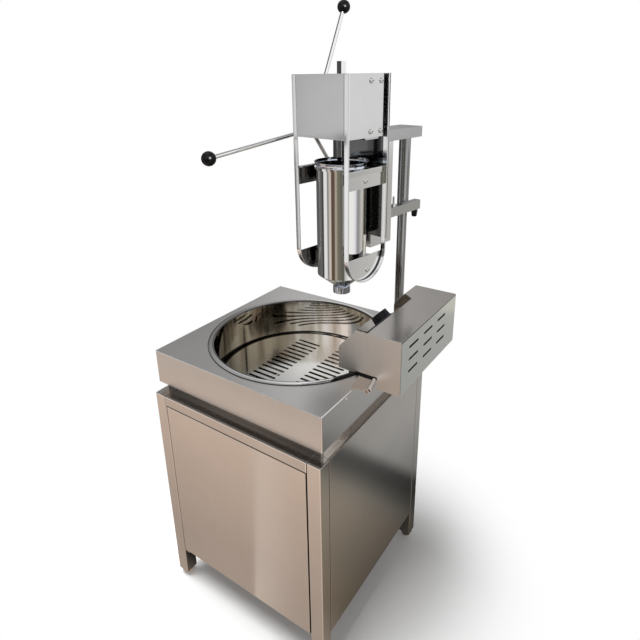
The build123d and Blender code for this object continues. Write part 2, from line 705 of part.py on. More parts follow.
def head_cover():
    """Top cover: left wall, sloped control panel between raised cheeks, and flat top."""
    cover = cover_form(0.0) - cover_form(SHEET)
    hole = SLOPE * Cylinder(KNOB_STEM + SEAM, 4 * SHEET)
    for lamp in LAMP_PLACES:
        hole += SLOPE * Pos(*lamp) * Cylinder(LAMP_RADIUS, 4 * SHEET)
    return cover - hole


def vent_panel():
    """Right-hand panel with three columns of three vent slots."""
    y = (HEAD_FRONT + SHEET + SEAM, HEAD_BACK - SHEET - SEAM)
    panel = block((HEAD_RIGHT - SHEET, HEAD_RIGHT), y, (HANG_Z + SHEET, HEAD_TOP - 2 * SHEET))
    slot = extrude(SlotOverall(VENT_LENGTH, VENT_WIDTH), 4 * SHEET, both=True)
    slot = Rot(0, 90, 0) * Rot(0, 0, 90) * slot
    for column in range(VENT_COLUMNS):
        for row in range(VENT_ROWS):
            y = VENT_CENTRE_Y + (column - 1) * VENT_PITCH_Y
            panel -= Pos(HEAD_RIGHT, y, VENT_CENTRE_Z + (row - 1) * VENT_PITCH_Z) * slot
    return panel


def rear_hook():
    """Bent strap under the head that hooks over the deck's right-hand edge."""
    edge = DECK_SIDE / 2
    strap_x = (edge - HOOK_REACH, edge + SEAM + HOOK_THICK)
    y = (HEAD_BACK - HOOK_WIDTH, HEAD_BACK)
    strap = block(strap_x, y, (DECK_TOP - HOOK_DROP, HEAD_FLOOR))
    corner = strap.edges().filter_by(Axis.Y).group_by(Axis.Z)[-1].sort_by(Axis.X)[-1]
    strap = fillet(corner, HOOK_BEND)
    return strap - block((edge - 2 * HOOK_REACH, edge + SEAM), y, (DECK_TOP - 2 * HOOK_DROP, DECK_TOP))


def front_hook():
    """Skewed flap on the deck in front of the head, with a rolled eye past the deck's edge."""
    flap = prism_z(LATCH_PLAN, (HEAD_FLOOR - HOOK_THICK, HEAD_FLOOR))
    corner_back, corner_front = LATCH_PLAN[1], LATCH_PLAN[2]
    slant = (corner_front[0] - corner_back[0]) / (corner_front[1] - corner_back[1])
    ends = [(corner_back[0] + slant * (y - corner_back[1]), y) for y in LATCH_EYE_SPAN]
    start = Vector(*ends[0], HEAD_FLOOR - LATCH_EYE)
    run = Vector(*ends[1], HEAD_FLOOR - LATCH_EYE) - start
    eye = Plane(start, z_dir=run)
    ring = eye * extrude(Circle(LATCH_EYE), run.length)
    return flap + ring - eye * extrude(Circle(LATCH_EYE_BORE), run.length)


def hook_brackets():
    """The two pieces that hold the head on the deck's right-hand edge."""
    return [front_hook(), rear_hook()]


def thermostat_body():
    """Thermostat behind the sloped panel, with a bore for the knob's stem."""
    width, depth, height = THERMOSTAT_SIZE
    body = Pos(0, 0, -SHEET - SEAM - height / 2) * Box(width, depth, height)
    return SLOPE * (body - Pos(0, 0, -SHEET - height / 4) * Cylinder(KNOB_STEM + PIN_FIT, height / 2))


def thermostat_knob():
    """Round knob with a flared skirt and grip flutes, on its stem."""
    outline = (
        (0, SEAM), (KNOB_BASE, SEAM), (KNOB_BASE, KNOB_EDGE), (KNOB_NECK, KNOB_SKIRT),
        (KNOB_TOP, KNOB_HEIGHT - KNOB_EDGE), (KNOB_TOP - KNOB_EDGE, KNOB_HEIGHT), (0, KNOB_HEIGHT),
    )
    knob = turned(*outline)
    flute_place = Pos(KNOB_NECK + KNOB_FLUTE - KNOB_FLUTE_DEPTH, 0, KNOB_SKIRT + KNOB_HEIGHT / 2)
    flute = flute_place * Cylinder(KNOB_FLUTE, KNOB_HEIGHT)
    for count in range(KNOB_FLUTES):
        knob -= Rot(0, 0, 360 / KNOB_FLUTES * count) * flute
    stem = rod(KNOB_STEM, (-THERMOSTAT_SIZE[2] / 3, SEAM))
    return SLOPE * (knob + stem)


def terminal_block():
    """Terminal strip on the floor of the hanging part."""
    width, length, height = TERMINAL_SIZE
    floor = HANG_Z + SHEET
    left = HANG_X + TERMINAL_INSET
    strip = block((left, left + width), (TERMINAL_Y, TERMINAL_Y + length), (floor, floor + height))
    return fillet(strip.faces().sort_by(Axis.Z)[-1].edges(), TERMINAL_ROUND)


def pilot_lamps():
    """Two flat lenses in the sloped panel."""
    lens = rod(LAMP_RADIUS, (-LAMP_DEPTH, SHEET)) + rod(LAMP_RADIUS + SHEET, (0, SHEET))
    return [SLOPE * Pos(*place) * lens for place in LAMP_PLACES]


def cable_gland():
    """Gland for the supply, through the back plate of the hanging part."""
    nut = extrude(RegularPolygon(GLAND_NUT, 6), GLAND_NUT_HEIGHT)
    dome = turned(
        (0, -3 * SHEET), (GLAND_RADIUS, -3 * SHEET), (GLAND_RADIUS, GLAND_DOME),
        (GLAND_RADIUS - GLAND_TAPER, GLAND_END), (0, GLAND_END),
    )
    gland = nut + dome - rod(GLAND_BORE, (-6 * SHEET, 2 * GLAND_END))
    return Pos(GLAND_X, HEAD_BACK, GLAND_Z) * Rot(-90, 0, 0) * gland


# Post

POST_PLACE = PRESS_PLACE * Pos(0, POST_V, 0)
POST_X = POST_PLACE.position.X
POST_Y = POST_PLACE.position.Y
POST_TOP = ARM_TOP - ARM_WALL - CAP_THICK


def post():
    """Plain tube behind the deck."""
    tube = rod(POST_RADIUS, (POST_BOTTOM, POST_TOP), POST_X, POST_Y)
    return tube - rod(POST_RADIUS - POST_WALL, (POST_BOTTOM, POST_TOP), POST_X, POST_Y)


def post_cap():
    """Plastic end cap that the upper arm turns on."""
    bore = POST_RADIUS - POST_WALL - SWING_FIT
    cap = rod(POST_RADIUS, (POST_TOP, POST_TOP + CAP_THICK)) + rod(bore, (POST_TOP - CAP_PLUG, POST_TOP))
    return Pos(POST_X, POST_Y, 0) * cap


def post_bracket(z, wall_y, closed):
    """Cast bracket: a wall plate, a web and a ring round the post, closed below where it is the lower one."""
    width, thick = POST_PLATE
    height = (z, z + POST_BRACKET_HEIGHT)
    plate = block((POST_X - width / 2, POST_X + width / 2), (wall_y, wall_y + thick), height)
    plate = fillet(plate.edges().filter_by(Axis.Y), POST_PLATE_ROUND)
    web = block((POST_X - POST_WEB / 2, POST_X + POST_WEB / 2), (wall_y, POST_Y), height)
    ring = rod(BRACKET_RING, height, POST_X, POST_Y)
    bore_bottom = POST_BOTTOM if closed else z
    if closed:
        ring += rod(BRACKET_RING, (POST_BOTTOM - 2 * thick, height[1]), POST_X, POST_Y)
    bore = rod(POST_RADIUS + SWING_FIT, (bore_bottom, height[1]), POST_X, POST_Y)
    return plate + web + ring - bore


def post_brackets():
    """Lower bracket on the cabinet's back, upper bracket on the deck's skirt."""
    low, high = POST_BRACKETS_Z
    upper = post_bracket(high - POST_BRACKET_HEIGHT, DECK_SIDE / 2, False)
    return [post_bracket(low, CABINET_BACK, True), upper]


# Swing frame, in the press's own frame

HOOP_IN = HOOP_U - HOOP_WIDTH / 2
HOOP_OUT = HOOP_U + HOOP_WIDTH / 2
HOOP_MIDDLE = (HOOP_FRONT + HOOP_BACK) / 2
HOOP_ARC = (HOOP_BACK - HOOP_FRONT) / 2
HOOP_ARC_Z = HOOP_BOTTOM + HOOP_ARC
INNER_FRONT = HOOP_FRONT + HOOP_THICK
INNER_BACK = HOOP_BACK - HOOP_THICK
BACK_FACE = HOOP_BACK + BACK_PLATE_THICK
SIDE_U = (HOOP_IN, HOOP_IN + SIDE_THICK)
PITCH_RADIUS = MODULE * PINION_TEETH / 2
RACK_PITCH_V = RACK_DEPTH / 2 - MODULE
SHAFT_V = RACK_PITCH_V + PITCH_RADIUS


def sleeve():
    """Bearing sleeve round the post, between the arms."""
    tube = rod(SLEEVE_RADIUS, (LOWER_ARM_BOTTOM, ARM_BOTTOM), 0, POST_V)
    return tube - rod(POST_RADIUS + SWING_FIT, (LOWER_ARM_BOTTOM, ARM_BOTTOM), 0, POST_V)


def upper_arm():
    """Wide box arm, closed at the back, bored from below for the post."""
    arm = block((-ARM_HALF, ARM_HALF), (BACK_FACE, ARM_END), (ARM_BOTTOM, ARM_TOP))
    inner = ARM_HALF - ARM_WALL
    inner_z = (ARM_BOTTOM + ARM_WALL, ARM_TOP - ARM_WALL)
    arm -= block((-inner, inner), (BACK_FACE, ARM_END - ARM_WALL), inner_z)
    return arm - rod(POST_RADIUS + SWING_FIT, (ARM_BOTTOM, ARM_TOP - ARM_WALL), 0, POST_V)


LOWER_ARM_U = (ARM_HALF - ARM_WALL - LOWER_ARM_WIDTH, ARM_HALF - ARM_WALL)
LOWER_ARM_MIDDLE = sum(LOWER_ARM_U) / 2


def lower_arm():
    """Narrow bar beside the post, hollowed to the sleeve and bored for the lock screw."""
    bar = block(LOWER_ARM_U, (BACK_FACE + ARM_WALL, LOWER_ARM_END), (LOWER_ARM_BOTTOM, LOWER_ARM_TOP))
    bar -= rod(SLEEVE_RADIUS, (LOWER_ARM_BOTTOM, LOWER_ARM_TOP), 0, POST_V)
    bore = (LOWER_ARM_BOTTOM, LOWER_ARM_BOTTOM + LOCK_DEPTH + LOCK_GAP)
    return bar - rod(LOCK_SCREW + PIN_FIT, bore, LOWER_ARM_MIDDLE, LOCK_V)


def column():
    """Folded channel behind the press, open to the back."""
    channel = block((-ARM_HALF, ARM_HALF), (BACK_FACE, COLUMN_BACK), (COLUMN_BOTTOM, ARM_BOTTOM))
    inner = ARM_HALF - ARM_WALL
    return channel - block((-inner, inner), (BACK_FACE + ARM_WALL, COLUMN_BACK), (COLUMN_BOTTOM, ARM_BOTTOM))


def back_plate():
    """Plate across the rear legs of both hoops."""
    return block((-HOOP_OUT, HOOP_OUT), (HOOP_BACK, BACK_FACE), (BACK_PLATE_BOTTOM, HOUSING_TOP))


def hoop_face(inset):
    """Outline of a hoop in v and z: straight legs down to a half circle."""
    arc = HOOP_ARC - inset
    leg = Pos(HOOP_MIDDLE, (HOUSING_TOP + HOOP_ARC_Z) / 2) * Rectangle(2 * arc, HOUSING_TOP - HOOP_ARC_Z)
    return leg + Pos(HOOP_MIDDLE, HOOP_ARC_Z) * Circle(arc)


def hoop_plane(u):
    """Drawing plane across the press at a place along u."""
    return Plane((u, 0, 0), x_dir=(0, 1, 0), z_dir=(1, 0, 0))


def frame_hoops():
    """Two flat bars bent into long hoops."""
    hoop = hoop_plane(HOOP_IN) * extrude(hoop_face(0) - hoop_face(HOOP_THICK), HOOP_WIDTH)
    return mirrored(hoop)


def side_plates():
    """Housing side plates behind the hoops' front legs; the left one is bored for the shaft."""
    plate = block(SIDE_U, (INNER_FRONT, INNER_BACK - SIDE_GAP), (HOUSING_BOTTOM, HOUSING_TOP))
    right, left = mirrored(plate)
    return [right, left - cross_rod(SHAFT_RADIUS + SEAM, (-HOOP_OUT, 0), SHAFT_V, SHAFT_Z)]


def front_cover():
    """Folded cover, flush with the hoops, with flanges inside the side plates."""
    cover = block((-HOOP_IN, HOOP_IN), (HOOP_FRONT, HOOP_FRONT + COVER_FLANGE), (HOUSING_BOTTOM, HOUSING_TOP))
    inner = HOOP_IN - COVER_SHEET
    back = HOOP_FRONT + COVER_FLANGE
    return cover - block((-inner, inner), (HOOP_FRONT + COVER_SHEET, back), (HOUSING_BOTTOM, HOUSING_TOP))


def rack_slot():
    """Clear passage for the rack."""
    half_u = RACK_WIDTH / 2 + RACK_GAP
    half_v = RACK_DEPTH / 2 + RACK_GAP
    return block((-half_u, half_u), (-half_v, half_v), (CYLINDER_BOTTOM, RACK_TOP))


def top_plate():
    """Plate that closes the housing, slotted for the rack."""
    inner = HOOP_IN - COVER_SHEET
    z = (HOUSING_TOP - TOP_PLATE, HOUSING_TOP)
    plate = block((-inner, inner), (HOOP_FRONT + COVER_SHEET, HOOP_BACK), z)
    return plate - rack_slot()


def rack_guide():
    """Cross block that guides the rack at the top of the housing."""
    guide = block((-HOOP_IN, HOOP_IN), (GUIDE_FRONT, GUIDE_BACK), (GUIDE_BOTTOM, HOUSING_TOP - TOP_PLATE))
    return guide - rack_slot()


def backing_bar():
    """Cross bar that backs the rack against the pinion."""
    back = -RACK_DEPTH / 2 - RACK_GAP
    bar = block((-HOOP_IN, HOOP_IN), (BACKING_FRONT, back), (BACKING_BOTTOM, BACKING_BOTTOM + BACKING_HEIGHT))
    return fillet(bar.edges().filter_by(Axis.X), BACKING_ROUND)


def bearing_blocks():
    """Flanged blocks inside the side plates that carry the pinion shaft."""
    half_v, half_z = BEARING_HALF
    flange = block((HOOP_IN - BEARING_THICK, HOOP_IN), (SHAFT_V - half_v, SHAFT_V + half_v),
                   (SHAFT_Z - half_z, SHAFT_Z + half_z))
    flange = fillet(flange.edges().filter_by(Axis.X), BEARING_ROUND)
    flange -= cross_rod(SHAFT_RADIUS + SHAFT_FIT, (0, HOOP_IN), SHAFT_V, SHAFT_Z)
    return mirrored(flange)


def rim_brackets():
    """Angle plates between the hoops' legs beside the cylinder's rim."""
    outer = HOOP_IN + BRACKET_THICK
    plate = block((HOOP_IN, outer), (INNER_FRONT, INNER_BACK), (BRACKET_BOTTOM, BRACKET_TOP))
    flange_z = (BRACKET_TOP - BRACKET_THICK, BRACKET_TOP)
    flange = block((HOOP_IN - BRACKET_FLANGE, HOOP_IN), (INNER_FRONT, INNER_BACK), flange_z)
    return mirrored(plate + flange)


def saddles():
    """Half-round plates behind the cylinder: the upper one carries its collar, the lower one steadies it."""
    top = COLLAR_TOP - COLLAR_HEIGHT
    upper = block((-HOOP_IN, HOOP_IN), (SADDLE_FRONT, HOOP_BACK), (top - SADDLE_THICK, top))
    low = LOWER_SADDLE_Z
    lower = block((-HOOP_IN, HOOP_IN), (SADDLE_FRONT, HOOP_BACK), (low, low + SADDLE_THICK))
    clear = rod(CYLINDER_RADIUS + SEAM, (CYLINDER_BOTTOM, CYLINDER_RIM))
    return [upper - clear, lower - clear]


def moon_plates():
    """Half-moon plates that close the bottom of each hoop."""
    moon = hoop_face(HOOP_THICK)
    cut_height = HOUSING_TOP - MOON_TOP
    moon -= Pos(HOOP_MIDDLE, MOON_TOP + cut_height / 2) * Rectangle(3 * HOOP_ARC, cut_height)
    return mirrored(hoop_plane(HOOP_IN) * extrude(moon, MOON_THICK))


def bolt(u, v, z):
    """Round bolt head standing on a right-hand face of the press."""
    return cross_rod(BOLT_RADIUS, (u, u + BOLT_HEIGHT), v, z)


def frame_bolts():
    """Bolt heads on the housing, brackets and half-moon plates, and a stud with its nut on the lower arm."""
    spots = [(HOOP_IN + BRACKET_THICK, *BRACKET_BOLT), (HOOP_IN + MOON_THICK, *MOON_BOLT)]
    spots += [(SIDE_U[1], v, z) for v in BOLT_VS for z in BOLT_ZS]
    heads = []
    for spot in spots:
        heads += mirrored(bolt(*spot))
    nut = extrude(RegularPolygon(ARM_NUT_RADIUS, 6), ARM_NUT_HEIGHT)
    stud = rod(ARM_STUD_RADIUS, (0, STUD_HEIGHT)) + nut
    return heads + [Pos(LOWER_ARM_MIDDLE, STUD_V, LOWER_ARM_TOP) * stud]


def cylinder():
    """Polished dough cylinder: flared rim, support collar, cone and outlet neck."""
    outer, inner = CYLINDER_RADIUS, CYLINDER_RADIUS - CYLINDER_WALL
    flare_z = CYLINDER_RIM - FLARE_HEIGHT
    flare_in = FLARE_RADIUS - CYLINDER_WALL
    collar_z = COLLAR_TOP - COLLAR_HEIGHT
    outline = (
        (NECK_BORE, NECK_END), (NECK_RADIUS, NECK_END), (NECK_RADIUS, CONE_BOTTOM), (outer, CYLINDER_BOTTOM),
        (outer, collar_z), (COLLAR_RADIUS, collar_z), (COLLAR_RADIUS, COLLAR_TOP), (outer, COLLAR_TOP),
        (outer, flare_z), (FLARE_RADIUS, CYLINDER_RIM), (flare_in, CYLINDER_RIM), (inner, flare_z),
        (inner, CYLINDER_BOTTOM + CYLINDER_WALL), (NECK_BORE, CONE_BOTTOM + CYLINDER_WALL),
    )
    return turned(*outline)


def lock_knob():
    """Tapered knob on a screw under the lower arm's end."""
    top = LOWER_ARM_BOTTOM - LOCK_GAP
    bottom = top - LOCK_KNOB_HEIGHT
    knob = turned(
        (0, bottom), (LOCK_KNOB_END - LOCK_KNOB_EDGE, bottom), (LOCK_KNOB_END, bottom + LOCK_KNOB_EDGE),
        (LOCK_KNOB_TOP, top), (0, top),
    )
    knob += rod(LOCK_SCREW, (top, LOWER_ARM_BOTTOM + LOCK_DEPTH))
    return Pos(LOWER_ARM_MIDDLE, LOCK_V, 0) * knob


# Rack and pinion

def involute(angle):
    """Involute function of a pressure angle in radians."""
    return math.tan(angle) - angle


def pinion_outline():
    """Involute tooth outline in v and z, with a tooth pointing at the rack."""
    base = PITCH_RADIUS * math.cos(math.radians(PRESSURE_ANGLE))
    root = PITCH_RADIUS - DEDENDUM
    tip = PITCH_RADIUS + MODULE
    thick = math.pi * MODULE / 2 - BACKLASH
    at_pitch = thick / (2 * PITCH_RADIUS) + involute(math.radians(PRESSURE_ANGLE))
    flank = [(root, at_pitch)]
    for step in range(FLANK_STEPS + 1):
        radius = base + (tip - base) * step / FLANK_STEPS
        flank.append((radius, at_pitch - involute(math.acos(base / radius))))
    points = []
    for tooth in range(PINION_TEETH):
        middle = math.pi + 2 * math.pi * tooth / PINION_TEETH
        for radius, half in flank:
            points.append((radius * math.cos(middle - half), radius * math.sin(middle - half)))
        for radius, half in reversed(flank):
            points.append((radius * math.cos(middle + half), radius * math.sin(middle + half)))
    return points


def pinion():
    """Pinion on the shaft, meshing with the rack."""
    teeth = make_face(Polyline(*pinion_outline(), close=True)) - Circle(SHAFT_RADIUS)
    return hoop_plane(-PINION_WIDTH / 2) * Pos(SHAFT_V, SHAFT_Z) * extrude(teeth, PINION_WIDTH)


def rack():
    """Toothed bar with a threaded end below, its teeth on the pinion's side."""
    pitch = math.pi * MODULE
    half_space = pitch / 4 + BACKLASH / 4
    lean = math.tan(math.radians(PRESSURE_ANGLE))
    tip_v, root_v = RACK_DEPTH / 2, RACK_PITCH_V - DEDENDUM
    first = math.ceil((RACK_TEETH_LOW - SHAFT_Z) / pitch)
    last = math.floor((RACK_TEETH_HIGH - SHAFT_Z) / pitch)
    points = [(-tip_v, PISTON_BOTTOM + PISTON_THICK), (tip_v, PISTON_BOTTOM + PISTON_THICK)]
    for count in range(first, last + 1):
        space = SHAFT_Z + count * pitch
        mouth = half_space + MODULE * lean
        bottom = half_space - DEDENDUM * lean
        points += [(tip_v, space - mouth), (root_v, space - bottom)]
        points += [(root_v, space + bottom), (tip_v, space + mouth)]
    points += [(tip_v, RACK_TOP), (-tip_v, RACK_TOP)]
    bar = prism_x(points, (-RACK_WIDTH / 2, RACK_WIDTH / 2))
    return bar + rod(STUD_RADIUS, (PISTON_BOTTOM - NUT_THICK - STUD_END, PISTON_BOTTOM + PISTON_THICK))


def piston():
    """Piston with a groove for its seal."""
    top = PISTON_BOTTOM + PISTON_THICK
    middle = PISTON_BOTTOM + PISTON_THICK / 2
    disc = rod(PISTON_RADIUS, (PISTON_BOTTOM, top)) - rod(STUD_RADIUS, (PISTON_BOTTOM, top))
    groove = (middle - SEAL_HEIGHT / 2, middle + SEAL_HEIGHT / 2)
    return disc - (rod(SEAL_RADIUS, groove) - rod(SEAL_INNER, groove))


def piston_seal():
    """Ring in the piston's groove that wipes the cylinder."""
    middle = PISTON_BOTTOM + PISTON_THICK / 2
    half = SEAL_HEIGHT / 2
    lip = SEAL_RADIUS - SEAL_LIP
    return turned((SEAL_INNER, middle - half), (lip, middle - half), (SEAL_RADIUS, middle - SEAL_LIP),
                  (SEAL_RADIUS, middle + SEAL_LIP), (lip, middle + half), (SEAL_INNER, middle + half))


def piston_nut():
    """Hexagon nut that holds the piston on the rack's threaded end."""
    nut = extrude(RegularPolygon(NUT_HEX, 6) - Circle(STUD_RADIUS), NUT_THICK)
    return Pos(0, 0, PISTON_BOTTOM - NUT_THICK) * nut


# Capstan

HUB_U = (CAPSTAN_U - HUB_HALF, CAPSTAN_U + HUB_HALF)


def shaft():
    """Pinion shaft from the right-hand bearing out to the hub."""
    return cross_rod(SHAFT_RADIUS, (HUB_U[0], SHAFT_RIGHT), SHAFT_V, SHAFT_Z)


def spoke_place(count):
    """Frame on a spoke, with Z pointing out from the shaft."""
    angle = SPOKE_ANGLE + 360 / SPOKES * count
    return Pos(CAPSTAN_U, SHAFT_V, SHAFT_Z) * Rot(angle - 90, 0, 0)


def spokes():
    """Three plain rods from the hub into the ball knobs."""
    bar = rod(SPOKE_RADIUS, (SPOKE_ROOT, SPOKE_LENGTH - BALL_SOCKET))
    return [spoke_place(count) * bar for count in range(SPOKES)]


def hub():
    """Round hub, bored for the shaft and for the three spokes."""
    boss = cross_rod(HUB_RADIUS, HUB_U, SHAFT_V, SHAFT_Z)
    boss = chamfer(boss.edges().filter_by(GeomType.CIRCLE), HUB_CHAMFER)
    boss -= cross_rod(SHAFT_RADIUS, HUB_U, SHAFT_V, SHAFT_Z)
    for bar in spokes():
        boss -= bar
    return boss


def ball_knobs():
    """Three ball knobs on the ends of the spokes."""
    ball = Pos(0, 0, SPOKE_LENGTH) * Sphere(BALL_RADIUS)
    ball -= rod(SPOKE_RADIUS, (0, SPOKE_LENGTH - BALL_SOCKET))
    return [spoke_place(count) * ball for count in range(SPOKES)]


# Nozzle

def nozzle_nut():
    """Lobed nut that holds the die on the cylinder's outlet."""
    outline = Circle(NUT_RADIUS)
    scallop = Pos(NUT_RADIUS + NUT_SCALLOP_OUT, 0) * Circle(NUT_SCALLOP)
    for count in range(NUT_LOBES):
        outline -= Rot(0, 0, 360 / NUT_LOBES * count) * scallop
    nut = Pos(0, 0, NUT_BOTTOM) * extrude(outline, CONE_BOTTOM - SEAM - NUT_BOTTOM)
    nut -= rod(NUT_MOUTH, (NUT_BOTTOM, CONE_BOTTOM))
    return nut - rod(NECK_RADIUS + SHAFT_FIT, (NECK_END - DIE_THICK, CONE_BOTTOM))


def star_die():
    """Die plate with a star-shaped opening."""
    points = []
    for count in range(2 * STAR_POINTS):
        radius = STAR_OUTER if count % 2 == 0 else STAR_INNER
        angle = math.pi * count / STAR_POINTS
        points.append((radius * math.cos(angle), radius * math.sin(angle)))
    star = make_face(Polyline(*points, close=True))
    return Pos(0, 0, NECK_END - DIE_THICK) * extrude(Circle(DIE_RADIUS) - star, DIE_THICK)


FIXED_NODES = (
    leg_tubes, feet, front_rail, side_panels, back_panel, bottom_shelf, door, door_hinges, touch_latch,
    neck_frame, deck, tank, drain_stub, drain_valve, valve_lever, grate, heating_elements, thermostat_bulb,
    head_body, head_cover, vent_panel, hook_brackets, thermostat_body, thermostat_knob, terminal_block,
    pilot_lamps, cable_gland, post, post_cap, post_brackets,
)
PRESS_NODES = (
    sleeve, upper_arm, lower_arm, column, back_plate, frame_hoops, side_plates, front_cover, top_plate,
    rack_guide, backing_bar, bearing_blocks, rim_brackets, saddles, moon_plates, frame_bolts, cylinder,
    lock_knob, pinion, rack, piston, piston_seal, piston_nut, shaft, spokes, hub, ball_knobs,
    nozzle_nut, star_die,
)


# The whole outline runs from the deck's left to the head's right and from the cabinet's front to the
# lower arm's end.
ARM_CORNER = PRESS_PLACE * Pos(LOWER_ARM_U[0], LOWER_ARM_END, 0)
MIDDLE_X = (HEAD_RIGHT - DECK_SIDE / 2) / 2
MIDDLE_Y = (CABINET_FRONT + ARM_CORNER.position.Y) / 2
TO_ORIGIN = Location((-MIDDLE_X, -MIDDLE_Y, 0))


def solids_of(made):
    """The solids of a piece or of a group of pieces."""
    pieces = made if isinstance(made, list) else [made]
    return [solid for piece in pieces for solid in piece.solids()]


def write_node(name, made, place):
    """Write one node's solids, put in their place, to its own file."""
    solids = [solid.moved(TO_ORIGIN * place) for solid in solids_of(made)]
    shape = solids[0] if len(solids) == 1 else Compound(solids)
    export_step(shape, os.path.join("parts", name + ".step"))


def main():
    os.makedirs("parts", exist_ok=True)
    for make in FIXED_NODES:
        write_node(make.__name__, make(), Location())
    for make in PRESS_NODES:
        write_node(make.__name__, make(), PRESS_PLACE)


if __name__ == "__main__":
    main()
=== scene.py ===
import json
import math
from functools import partial

import bmesh
import bpy
from bpy.props import FloatProperty, FloatVectorProperty, IntProperty, PointerProperty
from mathutils import Matrix, Vector

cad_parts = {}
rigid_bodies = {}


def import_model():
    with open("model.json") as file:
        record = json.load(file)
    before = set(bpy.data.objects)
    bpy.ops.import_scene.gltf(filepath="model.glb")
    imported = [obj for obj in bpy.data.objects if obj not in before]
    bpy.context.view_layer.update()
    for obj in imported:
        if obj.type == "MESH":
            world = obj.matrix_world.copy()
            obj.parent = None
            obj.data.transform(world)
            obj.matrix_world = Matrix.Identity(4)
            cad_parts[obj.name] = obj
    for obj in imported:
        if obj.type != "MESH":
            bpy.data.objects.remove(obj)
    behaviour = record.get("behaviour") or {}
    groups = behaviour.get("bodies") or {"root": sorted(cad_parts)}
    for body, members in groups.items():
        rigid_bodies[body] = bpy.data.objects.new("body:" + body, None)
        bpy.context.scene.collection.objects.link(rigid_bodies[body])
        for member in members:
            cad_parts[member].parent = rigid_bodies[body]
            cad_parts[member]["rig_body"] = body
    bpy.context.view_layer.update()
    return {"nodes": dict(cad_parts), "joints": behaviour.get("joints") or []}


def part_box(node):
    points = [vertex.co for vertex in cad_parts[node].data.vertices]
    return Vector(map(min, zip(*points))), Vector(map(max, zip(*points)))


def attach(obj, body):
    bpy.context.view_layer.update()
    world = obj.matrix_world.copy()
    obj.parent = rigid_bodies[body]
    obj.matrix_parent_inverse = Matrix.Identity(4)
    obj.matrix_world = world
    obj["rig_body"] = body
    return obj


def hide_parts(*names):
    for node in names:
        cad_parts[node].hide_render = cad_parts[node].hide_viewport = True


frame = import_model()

bl_info = {
    "name": "Churro machine",
    "version": (1, 0, 0),
    "blender": (4, 5, 0),
    "location": "View3D > Sidebar > Churro machine",
    "description": "Dresses the churro machine's solids with steel, plastic and small hardware",
    "category": "Object",
}

NODES = frame["nodes"]
JOINTS = {joint["name"]: joint for joint in frame["joints"]}
MM = 0.001


# Frames of the machine's own parts

def node_middle(name):
    """The middle of a node's box."""
    low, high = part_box(name)
    return (low + high) / 2


def node_radius(name):
    """The radius of a round node that stands upright."""
    low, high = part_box(name)
    return (high.y - low.y) / 2


def axes_frame(origin, right, up):
    """A matrix whose X runs to the right and whose Z runs along the given axis."""
    z = Vector(up).normalized()
    x = (Vector(right) - z * Vector(right).dot(z)).normalized()
    y = z.cross(x)
    turn = Matrix((x, y, z)).transposed().to_4x4()
    return Matrix.Translation(origin) @ turn


PRESS_RIGHT = -Vector(JOINTS["capstan_turn"]["axis"])
PRESS_AXIS = node_middle("cylinder")
PRESS = axes_frame(Vector((PRESS_AXIS.x, PRESS_AXIS.y, 0)), PRESS_RIGHT, (0, 0, 1))
PRESS_BACK = PRESS.col[1].to_3d()
KNOB_FRAME = axes_frame(
    Vector(JOINTS["thermostat_turn"]["pos_m"]), (0, 1, 0), -Vector(JOINTS["thermostat_turn"]["axis"])
)


# Sizes and colours that a user would change

COLOUR = {"subtype": "COLOR", "min": 0, "max": 1}
SHARE = {"subtype": "FACTOR", "min": 0, "max": 1}
LENGTH = {"subtype": "DISTANCE", "unit": "LENGTH"}
ANGLE = {"subtype": "ANGLE"}
POWER = {"unit": "POWER", "min": 0}


class SteelFinish(bpy.types.PropertyGroup):
    """Colours and gloss of the steel sheets."""

    sheet_colour: FloatVectorProperty(
        name="Sheet colour", description="Colour of the brushed sheets",
        default=(0.63, 0.60, 0.57), **COLOUR)
    sheet_gloss: FloatProperty(
        name="Sheet roughness", description="Mean roughness of the brushed sheets", default=0.17, **SHARE)
    frame_colour: FloatVectorProperty(
        name="Press colour", description="Colour of the press's bars and plates",
        default=(0.66, 0.66, 0.66), **COLOUR)
    mirror_colour: FloatVectorProperty(
        name="Mirror colour", description="Colour of the polished cylinder and trim",
        default=(0.80, 0.79, 0.77), **COLOUR)
    mirror_gloss: FloatProperty(
        name="Mirror roughness", description="Roughness of the polished steel", default=0.06, **SHARE)
    edge_round: FloatProperty(
        name="Edge rounding", description="Width of the rounding on sheet edges",
        default=0.7 * MM, min=0.1 * MM, max=3 * MM, **LENGTH)


class StudioLight(bpy.types.PropertyGroup):
    """Floor, light and camera."""

    floor_colour: FloatVectorProperty(
        name="Floor colour", description="Colour that the floor throws on the machine",
        default=(0.90, 0.76, 0.66), **COLOUR)
    key_power: FloatProperty(
        name="Key light", description="Power of the soft key light", default=180.0, **POWER)
    sheen_power: FloatProperty(
        name="Sheen light", description="Power of the lamp that only the steel shows",
        default=60.0, **POWER)
    sparkle_power: FloatProperty(
        name="Sparkle light", description="Power of the lamp that only the black knobs show",
        default=150.0, **POWER)
    ambient: FloatProperty(
        name="Ambient light", description="Strength of the light from all round", default=0.29, min=0)
    lens: FloatProperty(
        name="Lens", description="Focal length of the camera", subtype="DISTANCE_CAMERA", default=29.655)
    camera_place: FloatVectorProperty(
        name="Camera place", description="Where the camera stands", subtype="TRANSLATION",
        default=(0.851, -1.1887, 1.619))
    camera_azimuth: FloatProperty(
        name="Camera azimuth", description="Bearing of the camera from the front",
        default=math.radians(34.67), **ANGLE)
    camera_pitch: FloatProperty(
        name="Camera pitch", description="How far the camera looks down",
        default=math.radians(19.64), **ANGLE)
    camera_roll: FloatProperty(
        name="Camera roll", description="Lean of the camera", default=math.radians(-0.893), **ANGLE)
    camera_shift: FloatProperty(
        name="Camera shift", description="Upward shift of the picture", default=-0.0906)


